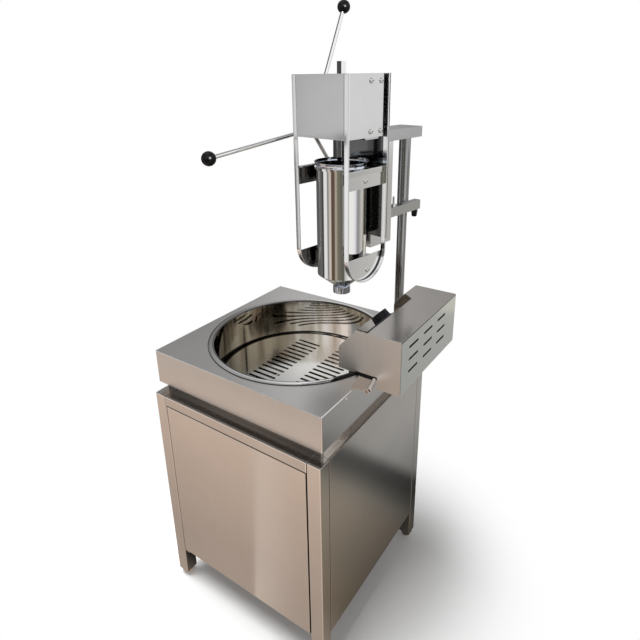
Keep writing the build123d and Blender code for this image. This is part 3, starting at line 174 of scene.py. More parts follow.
class SmallHardware(bpy.types.PropertyGroup):
    """Knobs, bolts and the dial."""

    bolt_radius: FloatProperty(
        name="Bolt radius", description="Radius of the domed bolt heads", default=6.6 * MM, **LENGTH)
    skirt_screw: FloatProperty(
        name="Skirt screw", description="Radius of the screw in the deck's side",
        default=4.0 * MM, **LENGTH)
    thread_pitch: FloatProperty(
        name="Thread pitch", description="Pitch of the stud's thread", default=1.5 * MM, **LENGTH)
    ball_flat: FloatProperty(
        name="Ball flat", description="Radius of the flat where a ball knob meets its spoke",
        default=8.0 * MM, **LENGTH)
    lock_ribs: IntProperty(
        name="Lock knob ribs", description="Grip ribs round the lock knob", default=24, min=8)
    dial_ticks: IntProperty(
        name="Dial ticks", description="Marks round the thermostat knob", default=11, min=2)
    dial_sweep: FloatProperty(
        name="Dial sweep", description="Angle between the first and the last mark",
        default=math.radians(270), **ANGLE)


def steel():
    """The steel finish settings of the scene."""
    return bpy.context.scene.churro_steel


def studio():
    """The studio settings of the scene."""
    return bpy.context.scene.churro_studio


def hardware():
    """The hardware settings of the scene."""
    return bpy.context.scene.churro_hardware


# Node trees

# Sockets of the node that mixes colours
MIX_FACTOR, MIX_FIRST, MIX_SECOND, MIX_RESULT = 0, 6, 7, 2
# Half the width of a mask's edge
SOFT = 0.2 * MM


class NodeTree:
    """A node tree and short ways to add nodes to it."""

    def __init__(self, tree):
        self.tree = tree

    def feed(self, node, inputs):
        """Join each named input of a node to a socket, or set it to a constant."""
        for key, value in inputs.items():
            if isinstance(value, bpy.types.NodeSocket):
                self.tree.links.new(value, node.inputs[key])
            else:
                node.inputs[key].default_value = value

    def add(self, kind, inputs, **settings):
        """A new node with its settings and inputs."""
        node = self.tree.nodes.new(kind)
        for key, value in settings.items():
            setattr(node, key, value)
        self.feed(node, inputs)
        return node

    def math(self, kind, *values):
        """The result of a calculation with one or two values."""
        return self.add("ShaderNodeMath", dict(enumerate(values)), operation=kind).outputs["Value"]

    def vector(self, kind, *values, result="Value"):
        """The result of a calculation with one or two vectors."""
        return self.add("ShaderNodeVectorMath", dict(enumerate(values)), operation=kind).outputs[result]


class Shader(NodeTree):
    """A material and short ways to colour and texture it."""

    def __init__(self, name, colour, roughness, metallic=0.0):
        self.material = bpy.data.materials.new(name)
        self.material.use_nodes = True
        super().__init__(self.material.node_tree)
        self.surface = self.tree.nodes["Principled BSDF"]
        self.feed(self.surface, {"Base Color": (*colour, 1.0), "Roughness": roughness, "Metallic": metallic})
        self.place = self.add("ShaderNodeTexCoord", {}).outputs["Object"]

    def share(self, value, low, high, ease="LINEAR"):
        """How far a value has come from one limit to the other, from nothing to one."""
        limits = {"Value": value, "From Min": low, "From Max": high}
        return self.add("ShaderNodeMapRange", limits, interpolation_type=ease).outputs["Result"]

    def eased(self, value, low, high):
        """A soft step of a value between two limits."""
        return self.share(value, low, high, "SMOOTHSTEP")

    def past(self, value, limit, soft=SOFT):
        """One past a limit and nothing before it."""
        return self.eased(value, limit - soft, limit + soft)

    def before(self, value, limit, soft=SOFT):
        """One before a limit and nothing past it."""
        return self.eased(value, limit + soft, limit - soft)

    def along(self, letter):
        """One of the Object coordinates."""
        return self.add("ShaderNodeSeparateXYZ", {"Vector": self.place}).outputs[letter]

    def off(self, value, middle):
        """How far a value lies from a middle, either way."""
        return self.math("ABSOLUTE", self.math("SUBTRACT", value, middle))

    def across(self, direction):
        """Distance from the press's axis along a direction."""
        reach = self.vector("DOT_PRODUCT", self.place, direction)
        return self.math("SUBTRACT", reach, PRESS_AXIS.dot(direction))

    def span(self, direction):
        """Distance from the press's axis along a direction, either way."""
        return self.math("ABSOLUTE", self.across(direction))

    def away(self, point, axis=(0, 0, 1)):
        """Distance from a line through a point, upright if no axis is given."""
        offset = self.vector("SUBTRACT", self.place, point, result="Vector")
        side = self.vector("CROSS_PRODUCT", offset, axis, result="Vector")
        return self.vector("LENGTH", side)

    def noise(self, scale, detail, rough, stretch=(1, 1, 1)):
        """Noise on Object coordinates, stretched along the axes with small factors."""
        mapping = self.add("ShaderNodeMapping", {"Vector": self.place, "Scale": stretch})
        grain = {"Vector": mapping.outputs["Vector"], "Scale": scale, "Detail": detail, "Roughness": rough}
        return self.add("ShaderNodeTexNoise", grain).outputs["Fac"]

    def ramp(self, value, *stops):
        """A colour ramp with stops of place and colour, or place and grey."""
        ramp = self.add("ShaderNodeValToRGB", {"Fac": value})
        places = ramp.color_ramp.elements
        while len(places) < len(stops):
            places.new(0.5)
        for place, (at, colour) in zip(places, stops):
            place.position = at
            place.color = (*grey(colour), 1) if isinstance(colour, float) else (*colour, 1)
        return ramp.outputs["Color"]

    def blend(self, factor, first, second, kind="MIX"):
        """Two colours, each constant or joined, mixed by a factor."""
        inputs = {MIX_FACTOR: factor}
        for key, colour in ((MIX_FIRST, first), (MIX_SECOND, second)):
            inputs[key] = (*colour, 1.0) if isinstance(colour, tuple) else colour
        return self.add("ShaderNodeMix", inputs, data_type="RGBA", blend_type=kind).outputs[MIX_RESULT]

    def patch(self, tone, patches):
        """A colour with other colours where their masks are one."""
        for mask, colour in patches:
            tone = self.blend(mask(self), tone, colour)
        return tone

    def colour(self, value):
        """Join a colour to the surface."""
        self.feed(self.surface, {"Base Color": value})

    def rough(self, value, low, high):
        """Roughness between two values, following a factor."""
        scale = self.add("ShaderNodeMapRange", {"Value": value, "To Min": low, "To Max": high})
        self.feed(self.surface, {"Roughness": scale.outputs["Result"]})

    def bumps(self, *layers):
        """Bump layers of value, strength and depth in metres."""
        inputs = {}
        for value, strength, depth in layers:
            inputs.update({"Height": value, "Strength": strength, "Distance": depth})
            inputs["Normal"] = self.add("ShaderNodeBump", inputs).outputs["Normal"]
        self.feed(self.surface, {"Normal": inputs["Normal"]})

    def mix(self, factor, first, second):
        """Two shader nodes mixed by a factor."""
        return self.add("ShaderNodeMixShader", {0: factor, 1: first.outputs[0], 2: second.outputs[0]})

    def show(self, shader):
        """Let the material show a shader node in place of its own surface."""
        self.feed(self.tree.nodes["Material Output"], {"Surface": shader.outputs[0]})


def grey(level):
    """A colour of equal parts."""
    return (level, level, level)


def shade(colour, factor):
    """A colour made darker or lighter."""
    return tuple(min(1.0, part * factor) for part in colour)


# Materials

# Factors of noise along X, Y and Z
GRAIN = {
    "x": (8.0, 2600.0, 2600.0),
    "y": (2600.0, 8.0, 2600.0),
    "z": (2600.0, 2600.0, 8.0),
}
STREAKS = (40, 40, 3)
STAINS = (16, 16, 1.5)


def brushed_steel(colour, roughness, grain, wave=0.10, patches=(), *, name):
    """Satin sheet: fine grain along one axis, slow waves and faint smears, perhaps with patches."""
    look = Shader(name, colour, roughness, 1.0)
    look.feed(look.surface, {"Anisotropic": 0.3})
    lines = look.noise(scale=1.0, detail=2.0, rough=0.6, stretch=GRAIN[grain])
    smears = look.noise(scale=5.0, detail=4.0, rough=0.6)
    waves = look.noise(scale=2.2, detail=1.0, rough=0.4)
    tone = look.blend(look.ramp(lines, (0.3, 0.0), (0.7, 1.0)), shade(colour, 0.95), shade(colour, 1.05))
    tone = look.blend(look.ramp(smears, (0.45, 0.0), (0.75, 1.0)), tone, shade(colour, 0.95))
    look.colour(look.patch(tone, patches))
    look.rough(look.blend(smears, grey(0.3), lines), roughness - 0.05, roughness + 0.07)
    look.bumps((waves, wave, 4 * MM), (lines, 0.06, 0.02 * MM))
    return look.material


def mirror_steel(colour, roughness, wave=0.05, stain=None, patches=(), shade_ramp=None, *, name):
    """Polished steel with fine swirls, streaks or stains and slow waves, perhaps with patches and a ramp of
    painted shade along one axis.
    """
    look = Shader(name, colour, roughness, 1.0)
    swirl = look.noise(scale=90.0, detail=4.0, rough=0.6)
    streaks = look.noise(scale=1.0, detail=2.0, rough=0.5, stretch=STAINS if stain else STREAKS)
    waves = look.noise(scale=7.0, detail=1.0, rough=0.4)
    if stain:
        streaks = look.ramp(streaks, (0.38, 0.0), (0.56, 1.0))
    tone = look.blend(streaks, stain or shade(colour, 0.94), shade(colour, 1.04))
    # A ramp of painted shade: darkest at the start of the stretch along the axis, plain at its end
    if shade_ramp:
        axis, start, end, shade_colour = shade_ramp
        shade_colour = look.blend(look.eased(look.along(axis), start, end), shade_colour, grey(1.0))
        tone = look.blend(1.0, tone, shade_colour, "MULTIPLY")
    look.colour(look.patch(tone, patches))
    look.rough(swirl, roughness * 0.6, roughness * 1.7)
    look.bumps((waves, wave, 2 * MM), (swirl, 0.03, 0.05 * MM))
    return look.material


def turned_steel(colour, roughness, *, name):
    """Machined steel with close rings left by the tool."""
    look = Shader(name, colour, roughness, 1.0)
    rings = look.noise(scale=1.0, detail=2.0, rough=0.5, stretch=(30, 30, 900))
    blotches = look.noise(scale=40.0, detail=3.0, rough=0.5)
    look.colour(look.blend(blotches, shade(colour, 0.86), colour))
    look.rough(rings, roughness - 0.06, roughness + 0.1)
    look.bumps((rings, 0.15, 0.05 * MM))
    return look.material


def cast_metal(colour, roughness, *, name):
    """Cast metal with a fine sandy skin."""
    look = Shader(name, colour, roughness, 1.0)
    sand = look.noise(scale=900.0, detail=2.0, rough=0.6)
    blotches = look.noise(scale=30.0, detail=3.0, rough=0.6)
    look.colour(look.blend(blotches, shade(colour, 0.8), colour))
    look.rough(sand, roughness - 0.08, roughness + 0.1)
    look.bumps((sand, 0.4, 0.2 * MM))
    return look.material


def moulded_plastic(colour, roughness, grain_depth, *, name):
    """Moulded plastic with a slight skin texture and a little dust."""
    look = Shader(name, colour, roughness)
    look.feed(look.surface, {"Specular IOR Level": 0.15})
    skin = look.noise(scale=1400.0, detail=2.0, rough=0.5)
    dust = look.noise(scale=60.0, detail=4.0, rough=0.7)
    dusty = tuple(1.4 * part + 0.004 for part in colour)
    look.colour(look.blend(look.ramp(dust, (0.5, 0.0), (0.8, 1.0)), colour, dusty))
    look.rough(dust, roughness * 0.8, roughness * 1.3)
    look.bumps((skin, 0.3, grain_depth))
    return look.material


def lamp_lens(colour, roughness, *, name):
    """Ribbed translucent lens."""
    look = Shader(name, colour, roughness)
    look.feed(look.surface, {"Transmission Weight": 0.35, "Coat Weight": 0.5})
    ribs = look.noise(scale=1.0, detail=1.0, rough=0.4, stretch=(500, 20, 20))
    look.colour(look.blend(ribs, shade(colour, 0.75), colour))
    look.bumps((ribs, 0.3, 0.2 * MM))
    return look.material


# Masks of places on the steel, most of them for painted light and shade: each is one on its place and nothing
# elsewhere

FACE_DEPTH = 0.5 * MM
SEAM_SOFT = 0.5 * MM
FOLD_SOFT = 1 * MM
# Width of the painted highlight on folds
HIGHLIGHT_WIDTH = 1.9 * MM
LEG_DEPTH = 0.6 * MM
LEG_SOFT = 0.3 * MM
HOOP_THICK = 4 * MM
BEND_SHADOW = 0.42
REAR_BAR = 0.10
BAR_SOFT = 2 * MM
NECK_WALL = 1 * MM
VENT_FRONT_SEAM = 2 * MM
VENT_UPPER_SEAM = 1.5 * MM
RIM_HEIGHT = 5 * MM
RIM_FOOT = 2 * MM
RIM_BRIGHT = 13.5 * MM
GRATE_SHADOW = 8.5 * MM
FLARE_HEIGHT = 13 * MM


def wall_middle(node, axis):
    """How far from the press's axis the middle of a plate's thickness lies, along one of the press's axes."""
    places = [abs((PRESS.inverted() @ vert.co)[axis]) for vert in NODES[node].data.vertices]
    return (min(places) + max(places)) / 2


def painted_reflection_between_plates(look):
    """The sides of the plates that face the cylinder, where a dark reflection is painted."""
    return look.before(look.span(PRESS_RIGHT), wall_middle("moon_plates", 0))


def painted_reflection_on_back_plate(look):
    """The front of the back plate, where a dark reflection is painted."""
    return look.before(look.span(PRESS_BACK), wall_middle("back_plate", 1))


def hoop_bend(look):
    """The corner between the hoops' lower bend and the half-moon plates, which lies in shadow."""
    low, high = islands("frame_hoops")[0]
    radius = (high.y - low.y) / 2
    centre = PRESS @ Vector((0, (low.y + high.y) / 2, low.z + radius))
    inside = look.before(look.away(centre, PRESS_RIGHT), radius - HOOP_THICK + FACE_DEPTH)
    plate = wall_middle("moon_plates", 0)
    edge = max(abs(low.x), abs(high.x))
    corner = look.before(look.span(PRESS_RIGHT), plate + BEND_SHADOW * (edge - plate))
    return look.math("MINIMUM", inside, corner)


def rear_bar(look):
    """The front of the left hoop's rear bar, beside the dark back plate, where shadow is painted."""
    inside = islands("frame_hoops")[0][1].y - HOOP_THICK
    front = look.before(look.across(PRESS_BACK), inside + FACE_DEPTH)
    left_rear = look.before(look.across(PRESS_RIGHT - PRESS_BACK), -REAR_BAR, BAR_SOFT)
    return look.math("MINIMUM", front, left_rear)


def hoop_shadows(look):
    """Both places of painted shadow on the hoops."""
    return look.math("MAXIMUM", hoop_bend(look), rear_bar(look))


def rack_sides(look):
    """The rack's two sides, which keep the plain bright steel while the rest of the rack has a painted dark
    reflection.
    """
    return look.past(look.span(PRESS_RIGHT), islands("rack")[0][1].x - FACE_DEPTH)


def painted_edge_highlight(node):
    """A mask of a node's three folds at its right, front and upper corner, where a highlight is painted."""
    low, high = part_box(node)
    corner = (high.x, low.y, high.z)

    def mask(look):
        nearest = look.away(corner)
        for axis in ((1, 0, 0), (0, 1, 0)):
            nearest = look.math("MINIMUM", nearest, look.away(corner, axis))
        return look.before(nearest, HIGHLIGHT_WIDTH, SEAM_SOFT)

    return mask


def inner_faces(look):
    """The legs' faces that are turned to the cabinet's middle and stand in its shadow."""
    middle = node_middle("leg_tubes").x
    inner = min(abs(vert.co.x - middle) for vert in NODES["leg_tubes"].data.vertices)
    return look.before(look.off(look.along("X"), middle), inner + LEG_DEPTH, LEG_SOFT)


def painted_neck_shade(look):
    """The whole neck but for its right-hand face, where the shade under the deck's skirt is painted."""
    return look.before(look.along("X"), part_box("neck_frame")[1].x - NECK_WALL)


def vent_seams(look):
    """The front and upper seams of the vent panel."""
    low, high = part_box("vent_panel")
    front = look.before(look.along("Y"), low.y + VENT_FRONT_SEAM, SEAM_SOFT)
    upper = look.past(look.along("Z"), high.z - VENT_UPPER_SEAM, SEAM_SOFT)
    return look.math("MAXIMUM", front, upper)


def tank_rim(look):
    """The tank's rolled rim."""
    return look.past(look.along("Z"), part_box("tank")[1].z - RIM_HEIGHT, FOLD_SOFT)


def rim_foot(look):
    """The outer foot of the tank's rim, which casts a thin shadow on the deck."""
    return look.past(look.away(node_middle("tank")), node_radius("tank") - RIM_FOOT, SEAM_SOFT)


def rim_inside(look):
    """The inner side of the tank's rim, which mirrors the dark tank."""
    inside = look.before(look.away(node_middle("tank")), node_radius("tank") - RIM_BRIGHT, SEAM_SOFT)
    return look.math("MINIMUM", tank_rim(look), inside)


def rim_shade_stretch(start, end):
    """A mask that rises along the rim between two places on X, for painted shade on the rim."""

    def mask(look):
        return look.math("MINIMUM", tank_rim(look), look.eased(look.along("X"), start, end))

    return mask


def grate_edge(look):
    """The grate's round edge, which lies in the tank's shadow."""
    return look.past(look.away(node_middle("tank")), node_radius("grate") - GRATE_SHADOW, SEAM_SOFT)


def cylinder_rim(look):
    """The cylinder's flared rim."""
    return look.past(look.along("Z"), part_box("cylinder")[1].z - FLARE_HEIGHT, FOLD_SOFT)


# Finishes

# Colour of the painted highlight on folds
HIGHLIGHT_COLOUR = (0.97, 0.96, 0.95)
PLAIN_MIRROR = (0.88, 0.88, 0.89)
COOL_RIM = (0.74, 0.80, 0.90)
OILY = (0.52, 0.48, 0.42)
DECK = (0.65, 0.635, 0.62)
# Where stretches of painted shade start and end: from the tank's left, the head's left and the tank's middle
RIM_LEFT = (0.25, 0.05)
TANK_LEFT = (0.05, 0.26)
RIM_HEAD = (14 * MM, 22 * MM)
GRATE_FRONT = (-0.20, 0.12)


def stretch_from(origin, stretch):
    """The start and the end of a stretch that is measured from an origin."""
    return [origin + far for far in stretch]


class Finishes:
    """All materials of the machine, made once."""

    made = {}

    @classmethod
    def get(cls, name):
        """A finish by its name, made at its first use."""
        if name not in cls.made:
            recipes = {**cls.sheets(), **cls.press(), **cls.polished(), **cls.small()}
            cls.made[name] = recipes[name](name=name)
        return cls.made[name]

    @staticmethod
    def sheets():
        """Sheets of the cabinet and of the control head."""
        sheet, gloss = tuple(steel().sheet_colour), steel().sheet_gloss
        # Painted highlights on the right, front and upper folds of the legs, the rail and the deck; painted
        # shade on the legs' inner faces and on the neck but for its right face; dark seams on the vent panel
        legs = ((painted_edge_highlight("leg_tubes"), HIGHLIGHT_COLOUR), (inner_faces, shade(sheet, 0.25)))
        rail = ((painted_edge_highlight("front_rail"), HIGHLIGHT_COLOUR),)
        deck = ((painted_edge_highlight("deck"), HIGHLIGHT_COLOUR),)
        neck = ((painted_neck_shade, shade(sheet, 0.45)),)
        seams = ((vent_seams, grey(0.06)),)
        # The factors on the sheet colour are painted light and shade: head_sheet is a lighter copy,
        # sheet_deep, rail_sheet and neck_sheet are darker copies
        return {
            "sheet_across": partial(brushed_steel, sheet, gloss, "x"),
            "sheet_upright": partial(brushed_steel, sheet, gloss, "z"),
            "sheet_deep": partial(brushed_steel, shade(sheet, 0.92), gloss, "y", wave=0.05),
            "leg_sheet": partial(brushed_steel, sheet, gloss, "z", patches=legs),
            "rail_sheet": partial(brushed_steel, shade(sheet, 0.88), gloss, "x", patches=rail),
            "door_sheet": partial(brushed_steel, sheet, gloss - 0.06, "z", wave=0.20),
            "neck_sheet": partial(brushed_steel, shade(sheet, 0.90), gloss, "x", patches=neck),
            "deck_sheet": partial(brushed_steel, DECK, gloss + 0.13, "x", wave=0.03, patches=deck),
            "vent_sheet": partial(brushed_steel, (0.69, 0.70, 0.67), gloss, "y", wave=0.05, patches=seams),
            "head_sheet": partial(brushed_steel, shade(sheet, 1.38), 0.47, "z", wave=0.03),
        }

    @staticmethod
    def press():
        """Bars, plates and tubes of the press."""
        press = tuple(steel().frame_colour)
        # Patches of painted dark reflection on the plates' sides that face the cylinder and on the back
        # plate's front, and of painted shadow on the hoops
        sides = ((painted_reflection_between_plates, shade(press, 0.48)),)
        back = ((painted_reflection_on_back_plate, shade(press, 0.2)),)
        hoops = ((hoop_shadows, shade(press, 0.1)),)
        # The factors on the press colour are painted light and shade: press_side and press_bar are lighter
        # copies, arm_plate, post_tube and sleeve_tube darker copies
        return {
            "press_plate": partial(brushed_steel, press, 0.20, "z", wave=0.06),
            "press_mirror": partial(brushed_steel, shade(press, 1.12), 0.09, "z", wave=0.04),
            "press_side": partial(brushed_steel, shade(press, 1.25), 0.09, "z", wave=0.04, patches=sides),
            "press_back": partial(brushed_steel, press, 0.12, "z", wave=0.06, patches=back),
            "press_bar": partial(brushed_steel, shade(press, 1.38), 0.16, "z", wave=0.02, patches=hoops),
            "arm_plate": partial(brushed_steel, shade(press, 0.66), 0.24, "z", wave=0.06),
            "post_tube": partial(brushed_steel, shade(press, 0.50), 0.15, "z", wave=0.02),
            "sleeve_tube": partial(brushed_steel, shade(press, 0.50), 0.14, "z", wave=0.02),
        }

    @staticmethod
    def polished():
        """Mirror-like steel."""
        mirror, gloss = tuple(steel().mirror_colour), steel().mirror_gloss
        left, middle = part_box("tank")[0].x, node_middle("tank").y
        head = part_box("head_body")[0].x
        # The rim in clean steel, with painted shade on its left stretch, a painted dark reflection on its
        # inner side, and painted shadow on its outer foot and under the head; ramps of painted shade darken
        # the tank's left wall and the grate's front, and painted shadow darkens the grate's edge
        rim = (
            (tank_rim, grey(0.95)),
            (rim_shade_stretch(*stretch_from(left, RIM_LEFT)), grey(0.48)),
            (rim_inside, (0.12, 0.11, 0.10)),
            (rim_foot, grey(0.05)),
            (rim_shade_stretch(*stretch_from(head, RIM_HEAD)), grey(0.02)),
        )
        tank = {
            "stain": OILY,
            "patches": rim,
            "shade_ramp": ("X", *stretch_from(left, TANK_LEFT), (0.24, 0.21, 0.16)),
        }
        grate = {
            "patches": ((grate_edge, grey(0.012)),),
            "shade_ramp": ("Y", *stretch_from(middle, GRATE_FRONT), (0.52, 0.53, 0.55)),
        }
        return {
            "polished": partial(mirror_steel, mirror, gloss),
            "barrel": partial(mirror_steel, mirror, gloss, patches=((cylinder_rim, COOL_RIM),)),
            "nozzle": partial(mirror_steel, (0.76, 0.82, 0.92), gloss),
            "tank_steel": partial(mirror_steel, (0.98, 0.98, 0.97), 0.045, wave=0.03, **tank),
            "grate_sheet": partial(mirror_steel, (0.98, 0.95, 0.91), 0.12, wave=0.04, **grate),
            "hook_steel": partial(mirror_steel, (0.62, 0.56, 0.51), 0.12),
            "spoke_rod": partial(mirror_steel, PLAIN_MIRROR, 0.07, wave=0.02),
            # The rack is painted near black as a painted dark reflection, but for its two sides in plain
            # bright steel
            "rack_bar": partial(mirror_steel, grey(0.08), 0.08, wave=0.02, patches=((rack_sides, PLAIN_MIRROR),)),
        }

    @staticmethod
    def small():
        """Machined and cast metal, plastics and the lamps' lens."""
        return {
            "turned": partial(turned_steel, grey(0.62), 0.24),
            "brass": partial(turned_steel, (0.66, 0.50, 0.24), 0.32),
            "element_sheath": partial(turned_steel, (0.34, 0.31, 0.28), 0.4),
            "cast": partial(cast_metal, grey(0.46), 0.5),
            "black_gloss": partial(moulded_plastic, (0.006, 0.006, 0.007), 0.20, 0.005 * MM),
            "black_satin": partial(moulded_plastic, (0.010, 0.010, 0.012), 0.35, 0.05 * MM),
            "grey_plastic": partial(moulded_plastic, grey(0.25), 0.5, 0.05 * MM),
            "white_plastic": partial(moulded_plastic, (0.75, 0.74, 0.70), 0.45, 0.05 * MM),
            "seal_rubber": partial(moulded_plastic, (0.45, 0.12, 0.07), 0.55, 0.05 * MM),
            "dial_print": partial(moulded_plastic, (0.02, 0.02, 0.022), 0.4, 0.01 * MM),
            "lamp_amber": partial(lamp_lens, (0.75, 0.32, 0.06), 0.15),
        }


# Mesh helpers

SHARP = math.radians(32)
FLAT = math.radians(0.2)
WELD = 0.002 * MM
BAR_ROUND = 0.2


def placed(name, bm, material):
    """A bmesh as a new object of the scene, with its material."""
    mesh = bpy.data.meshes.new(name)
    bm.to_mesh(mesh)
    bm.free()
    mesh.materials.append(material)
    thing = bpy.data.objects.new(name, mesh)
    bpy.context.scene.collection.objects.link(thing)
    return thing


def finish_piece(name, bm, body, finish, replaces=()):
    """Turn a bmesh into a piece that rides on a body and stands for CAD nodes."""
    for edge in bm.edges:
        edge.smooth = not (edge.is_manifold and edge.calc_face_angle() > SHARP)
    for face in bm.faces:
        face.smooth = True
    piece = placed(name, bm, Finishes.get(finish))
    even = piece.modifiers.new("even_normals", "WEIGHTED_NORMAL")
    even.keep_sharp = True
    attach(piece, body)
    if replaces:
        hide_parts(*replaces)


def merged(node):
    """A copy of a node's mesh with its corners merged."""
    bm = bmesh.new()
    bm.from_mesh(NODES[node].data)
    bmesh.ops.remove_doubles(bm, verts=bm.verts, dist=WELD)
    return bm


def rounded(bm, edges, width):
    """Round some edges of a bmesh."""
    bmesh.ops.bevel(
        bm, geom=edges, offset=width, offset_type="OFFSET", segments=2, profile=0.5,
        affect="EDGES", clamp_overlap=True, material=-1)


def soften(node, finish, width=None):
    """Replace a node by a copy with rounded edges in a better finish."""
    bm = merged(node)
    bmesh.ops.dissolve_limit(bm, angle_limit=FLAT, verts=bm.verts, edges=bm.edges)
    sharp = [edge for edge in bm.edges if edge.is_manifold and edge.calc_face_angle() > SHARP]
    rounded(bm, sharp, width or steel().edge_round)
    finish_piece(node + "_dressed", bm, NODES[node]["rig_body"], finish, (node,))


def islands(node):
    """The low and high corner of each solid of a node, in the press's own frame."""
    bm = merged(node)
    bmesh.ops.transform(bm, matrix=PRESS.inverted(), verts=bm.verts)
    seen = set()
    found = []
    for first in bm.verts:
        if first in seen:
            continue
        group = {first}
        front = [first]
        while front:
            near = {edge.other_vert(vert) for vert in front for edge in vert.link_edges} - group
            group |= near
            front = list(near)
        seen |= group
        low = Vector([min(vert.co[axis] for vert in group) for axis in range(3)])
        high = Vector([max(vert.co[axis] for vert in group) for axis in range(3)])
        found.append((low, high))
    bm.free()
    return found


def spun(outline, steps, place, shape=None):
    """An outline of radius and height spun about Z, its radii shaped by the angle, and put in its place."""
    bm = bmesh.new()
    verts = [bm.verts.new((radius, 0, height)) for radius, height in outline]
    edges = [bm.edges.new(pair) for pair in zip(verts, verts[1:])]
    bmesh.ops.spin(
        bm, geom=verts + edges, cent=(0, 0, 0), axis=(0, 0, 1), angle=2 * math.pi, steps=steps,
        use_merge=True, use_duplicate=False)
    bmesh.ops.remove_doubles(bm, verts=bm.verts, dist=WELD)
    if shape:
        for vert in bm.verts:
            scale = shape(math.hypot(vert.co.x, vert.co.y), math.atan2(vert.co.y, vert.co.x))
            vert.co.x *= scale
            vert.co.y *= scale
    bmesh.ops.recalc_face_normals(bm, faces=bm.faces)
    bmesh.ops.transform(bm, matrix=place, verts=bm.verts)
    return bm


def hexagon(angle):
    """How far a hexagon's side lies within its corner circle."""
    sixth = math.pi / 3
    return math.cos(sixth / 2) / math.cos(angle % sixth - sixth / 2)


def bar(size, place):
    """A bar with rounded edges, its middle at the place."""
    bm = bmesh.new()
    bmesh.ops.create_cube(bm, size=1.0, matrix=Matrix.Diagonal((*size, 1.0)))
    rounded(bm, bm.edges[:], BAR_ROUND * min(size))
    bmesh.ops.transform(bm, matrix=place, verts=bm.verts)
    return bm


# Profile of a domed head on its washer, from the middle of the foot to the socket's floor, in head radii
BOLT_SOCKET = 0.46
BOLT_PROFILE = (
    (0, 0), (1.2, 0), (1.2, 0.144), (1.164, 0.18), (1, 0.18), (0.97, 0.37), (0.89, 0.54), (0.76, 0.66),
    (0.58, 0.73), (BOLT_SOCKET, 0.73), (BOLT_SOCKET, 0.42), (0, 0.42),
)
BOLT_STEPS = 24
BOLT_SLACK = 1.01


def socket_bolt(radius, place):
    """A domed bolt head with a hexagon socket, standing on a washer."""
    outline = [(radius * far, radius * height) for far, height in BOLT_PROFILE]

    def socket(far, angle):
        return hexagon(angle) if far < BOLT_SLACK * BOLT_SOCKET * radius else 1.0

    return spun(outline, BOLT_STEPS, place, socket)


def joined(shapes):
    """Several bmeshes in one."""
    whole = bmesh.new()
    for shape in shapes:
        mesh = bpy.data.meshes.new("shape")
        shape.to_mesh(mesh)
        shape.free()
        whole.from_mesh(mesh)
        bpy.data.meshes.remove(mesh)
    return whole


# Cabinet

class CHURRO_OT_cabinet(bpy.types.Operator):
    """Dress the corner tubes, feet, rail, panels, shelf and neck"""

    bl_idname = "churro.cabinet"
    bl_label = "Cabinet"

    def execute(self, context):
        soften("leg_tubes", "leg_sheet")
        soften("front_rail", "rail_sheet", width=1.5 * MM)
        soften("side_panels", "sheet_upright")
        soften("back_panel", "sheet_upright")
        soften("bottom_shelf", "sheet_across")
        soften("neck_frame", "neck_sheet")
        soften("feet", "sheet_upright")
        return {"FINISHED"}


class CHURRO_OT_door(bpy.types.Operator):
    """Dress the door, its hinge pins and the touch latch"""

    bl_idname = "churro.door"
    bl_label = "Door"

    def execute(self, context):
        soften("door", "door_sheet", width=0.5 * MM)
        soften("door_hinges", "turned", width=0.4 * MM)
        soften("touch_latch", "grey_plastic", width=1.0 * MM)
        return {"FINISHED"}


# Fryer

SKIRT_SCREW = (-0.2107, 0.838)


class CHURRO_OT_deck(bpy.types.Operator):
    """Dress the fryer deck"""

    bl_idname = "churro.deck"
    bl_label = "Deck"

    def execute(self, context):
        soften("deck", "deck_sheet", width=0.5 * MM)
        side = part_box("deck")[1].x
        place = Matrix.Translation((side, *SKIRT_SCREW)) @ Matrix.Rotation(math.pi / 2, 4, "Y")
        screw = socket_bolt(hardware().skirt_screw, place)
        finish_piece("skirt_screw", screw, "base", "polished")
        return {"FINISHED"}


class CHURRO_OT_tank(bpy.types.Operator):
    """Dress the tank, the grate, the heating elements and the drain"""

    bl_idname = "churro.tank"
    bl_label = "Tank"

    def execute(self, context):
        soften("tank", "tank_steel", width=0.3 * MM)
        soften("grate", "grate_sheet", width=0.4 * MM)
        soften("heating_elements", "element_sheath", width=0.3 * MM)
        soften("thermostat_bulb", "brass", width=0.3 * MM)
        soften("drain_stub", "turned", width=0.5 * MM)
        soften("drain_valve", "brass", width=0.6 * MM)
        soften("valve_lever", "turned", width=0.6 * MM)
        return {"FINISHED"}


# Control head

SEAM_X = 0.249
SEAM_START_X = 0.220
SEAM_END_Y = 0.020
SEAM_WIDTH = 4.5 * MM
STRIP_THICK = 1.2 * MM
# Place and size of the black strip that stands for the shadow of the flap's slot
SLOT_SHADOW_X = 0.2503
SLOT_SHADOW_LONG = 66 * MM
SLOT_SHADOW_TALL = 6 * MM
ROLL_RADIUS = 7 * MM
ROLL_BORE = 4.2 * MM
ROLL_EDGE = 0.5 * MM
ROLL_SINK = 2 * MM
ROLL_START = (0.2770, -0.1157)
ROLL_END = (0.2895, -0.1657)
ROLL_STEPS = 32


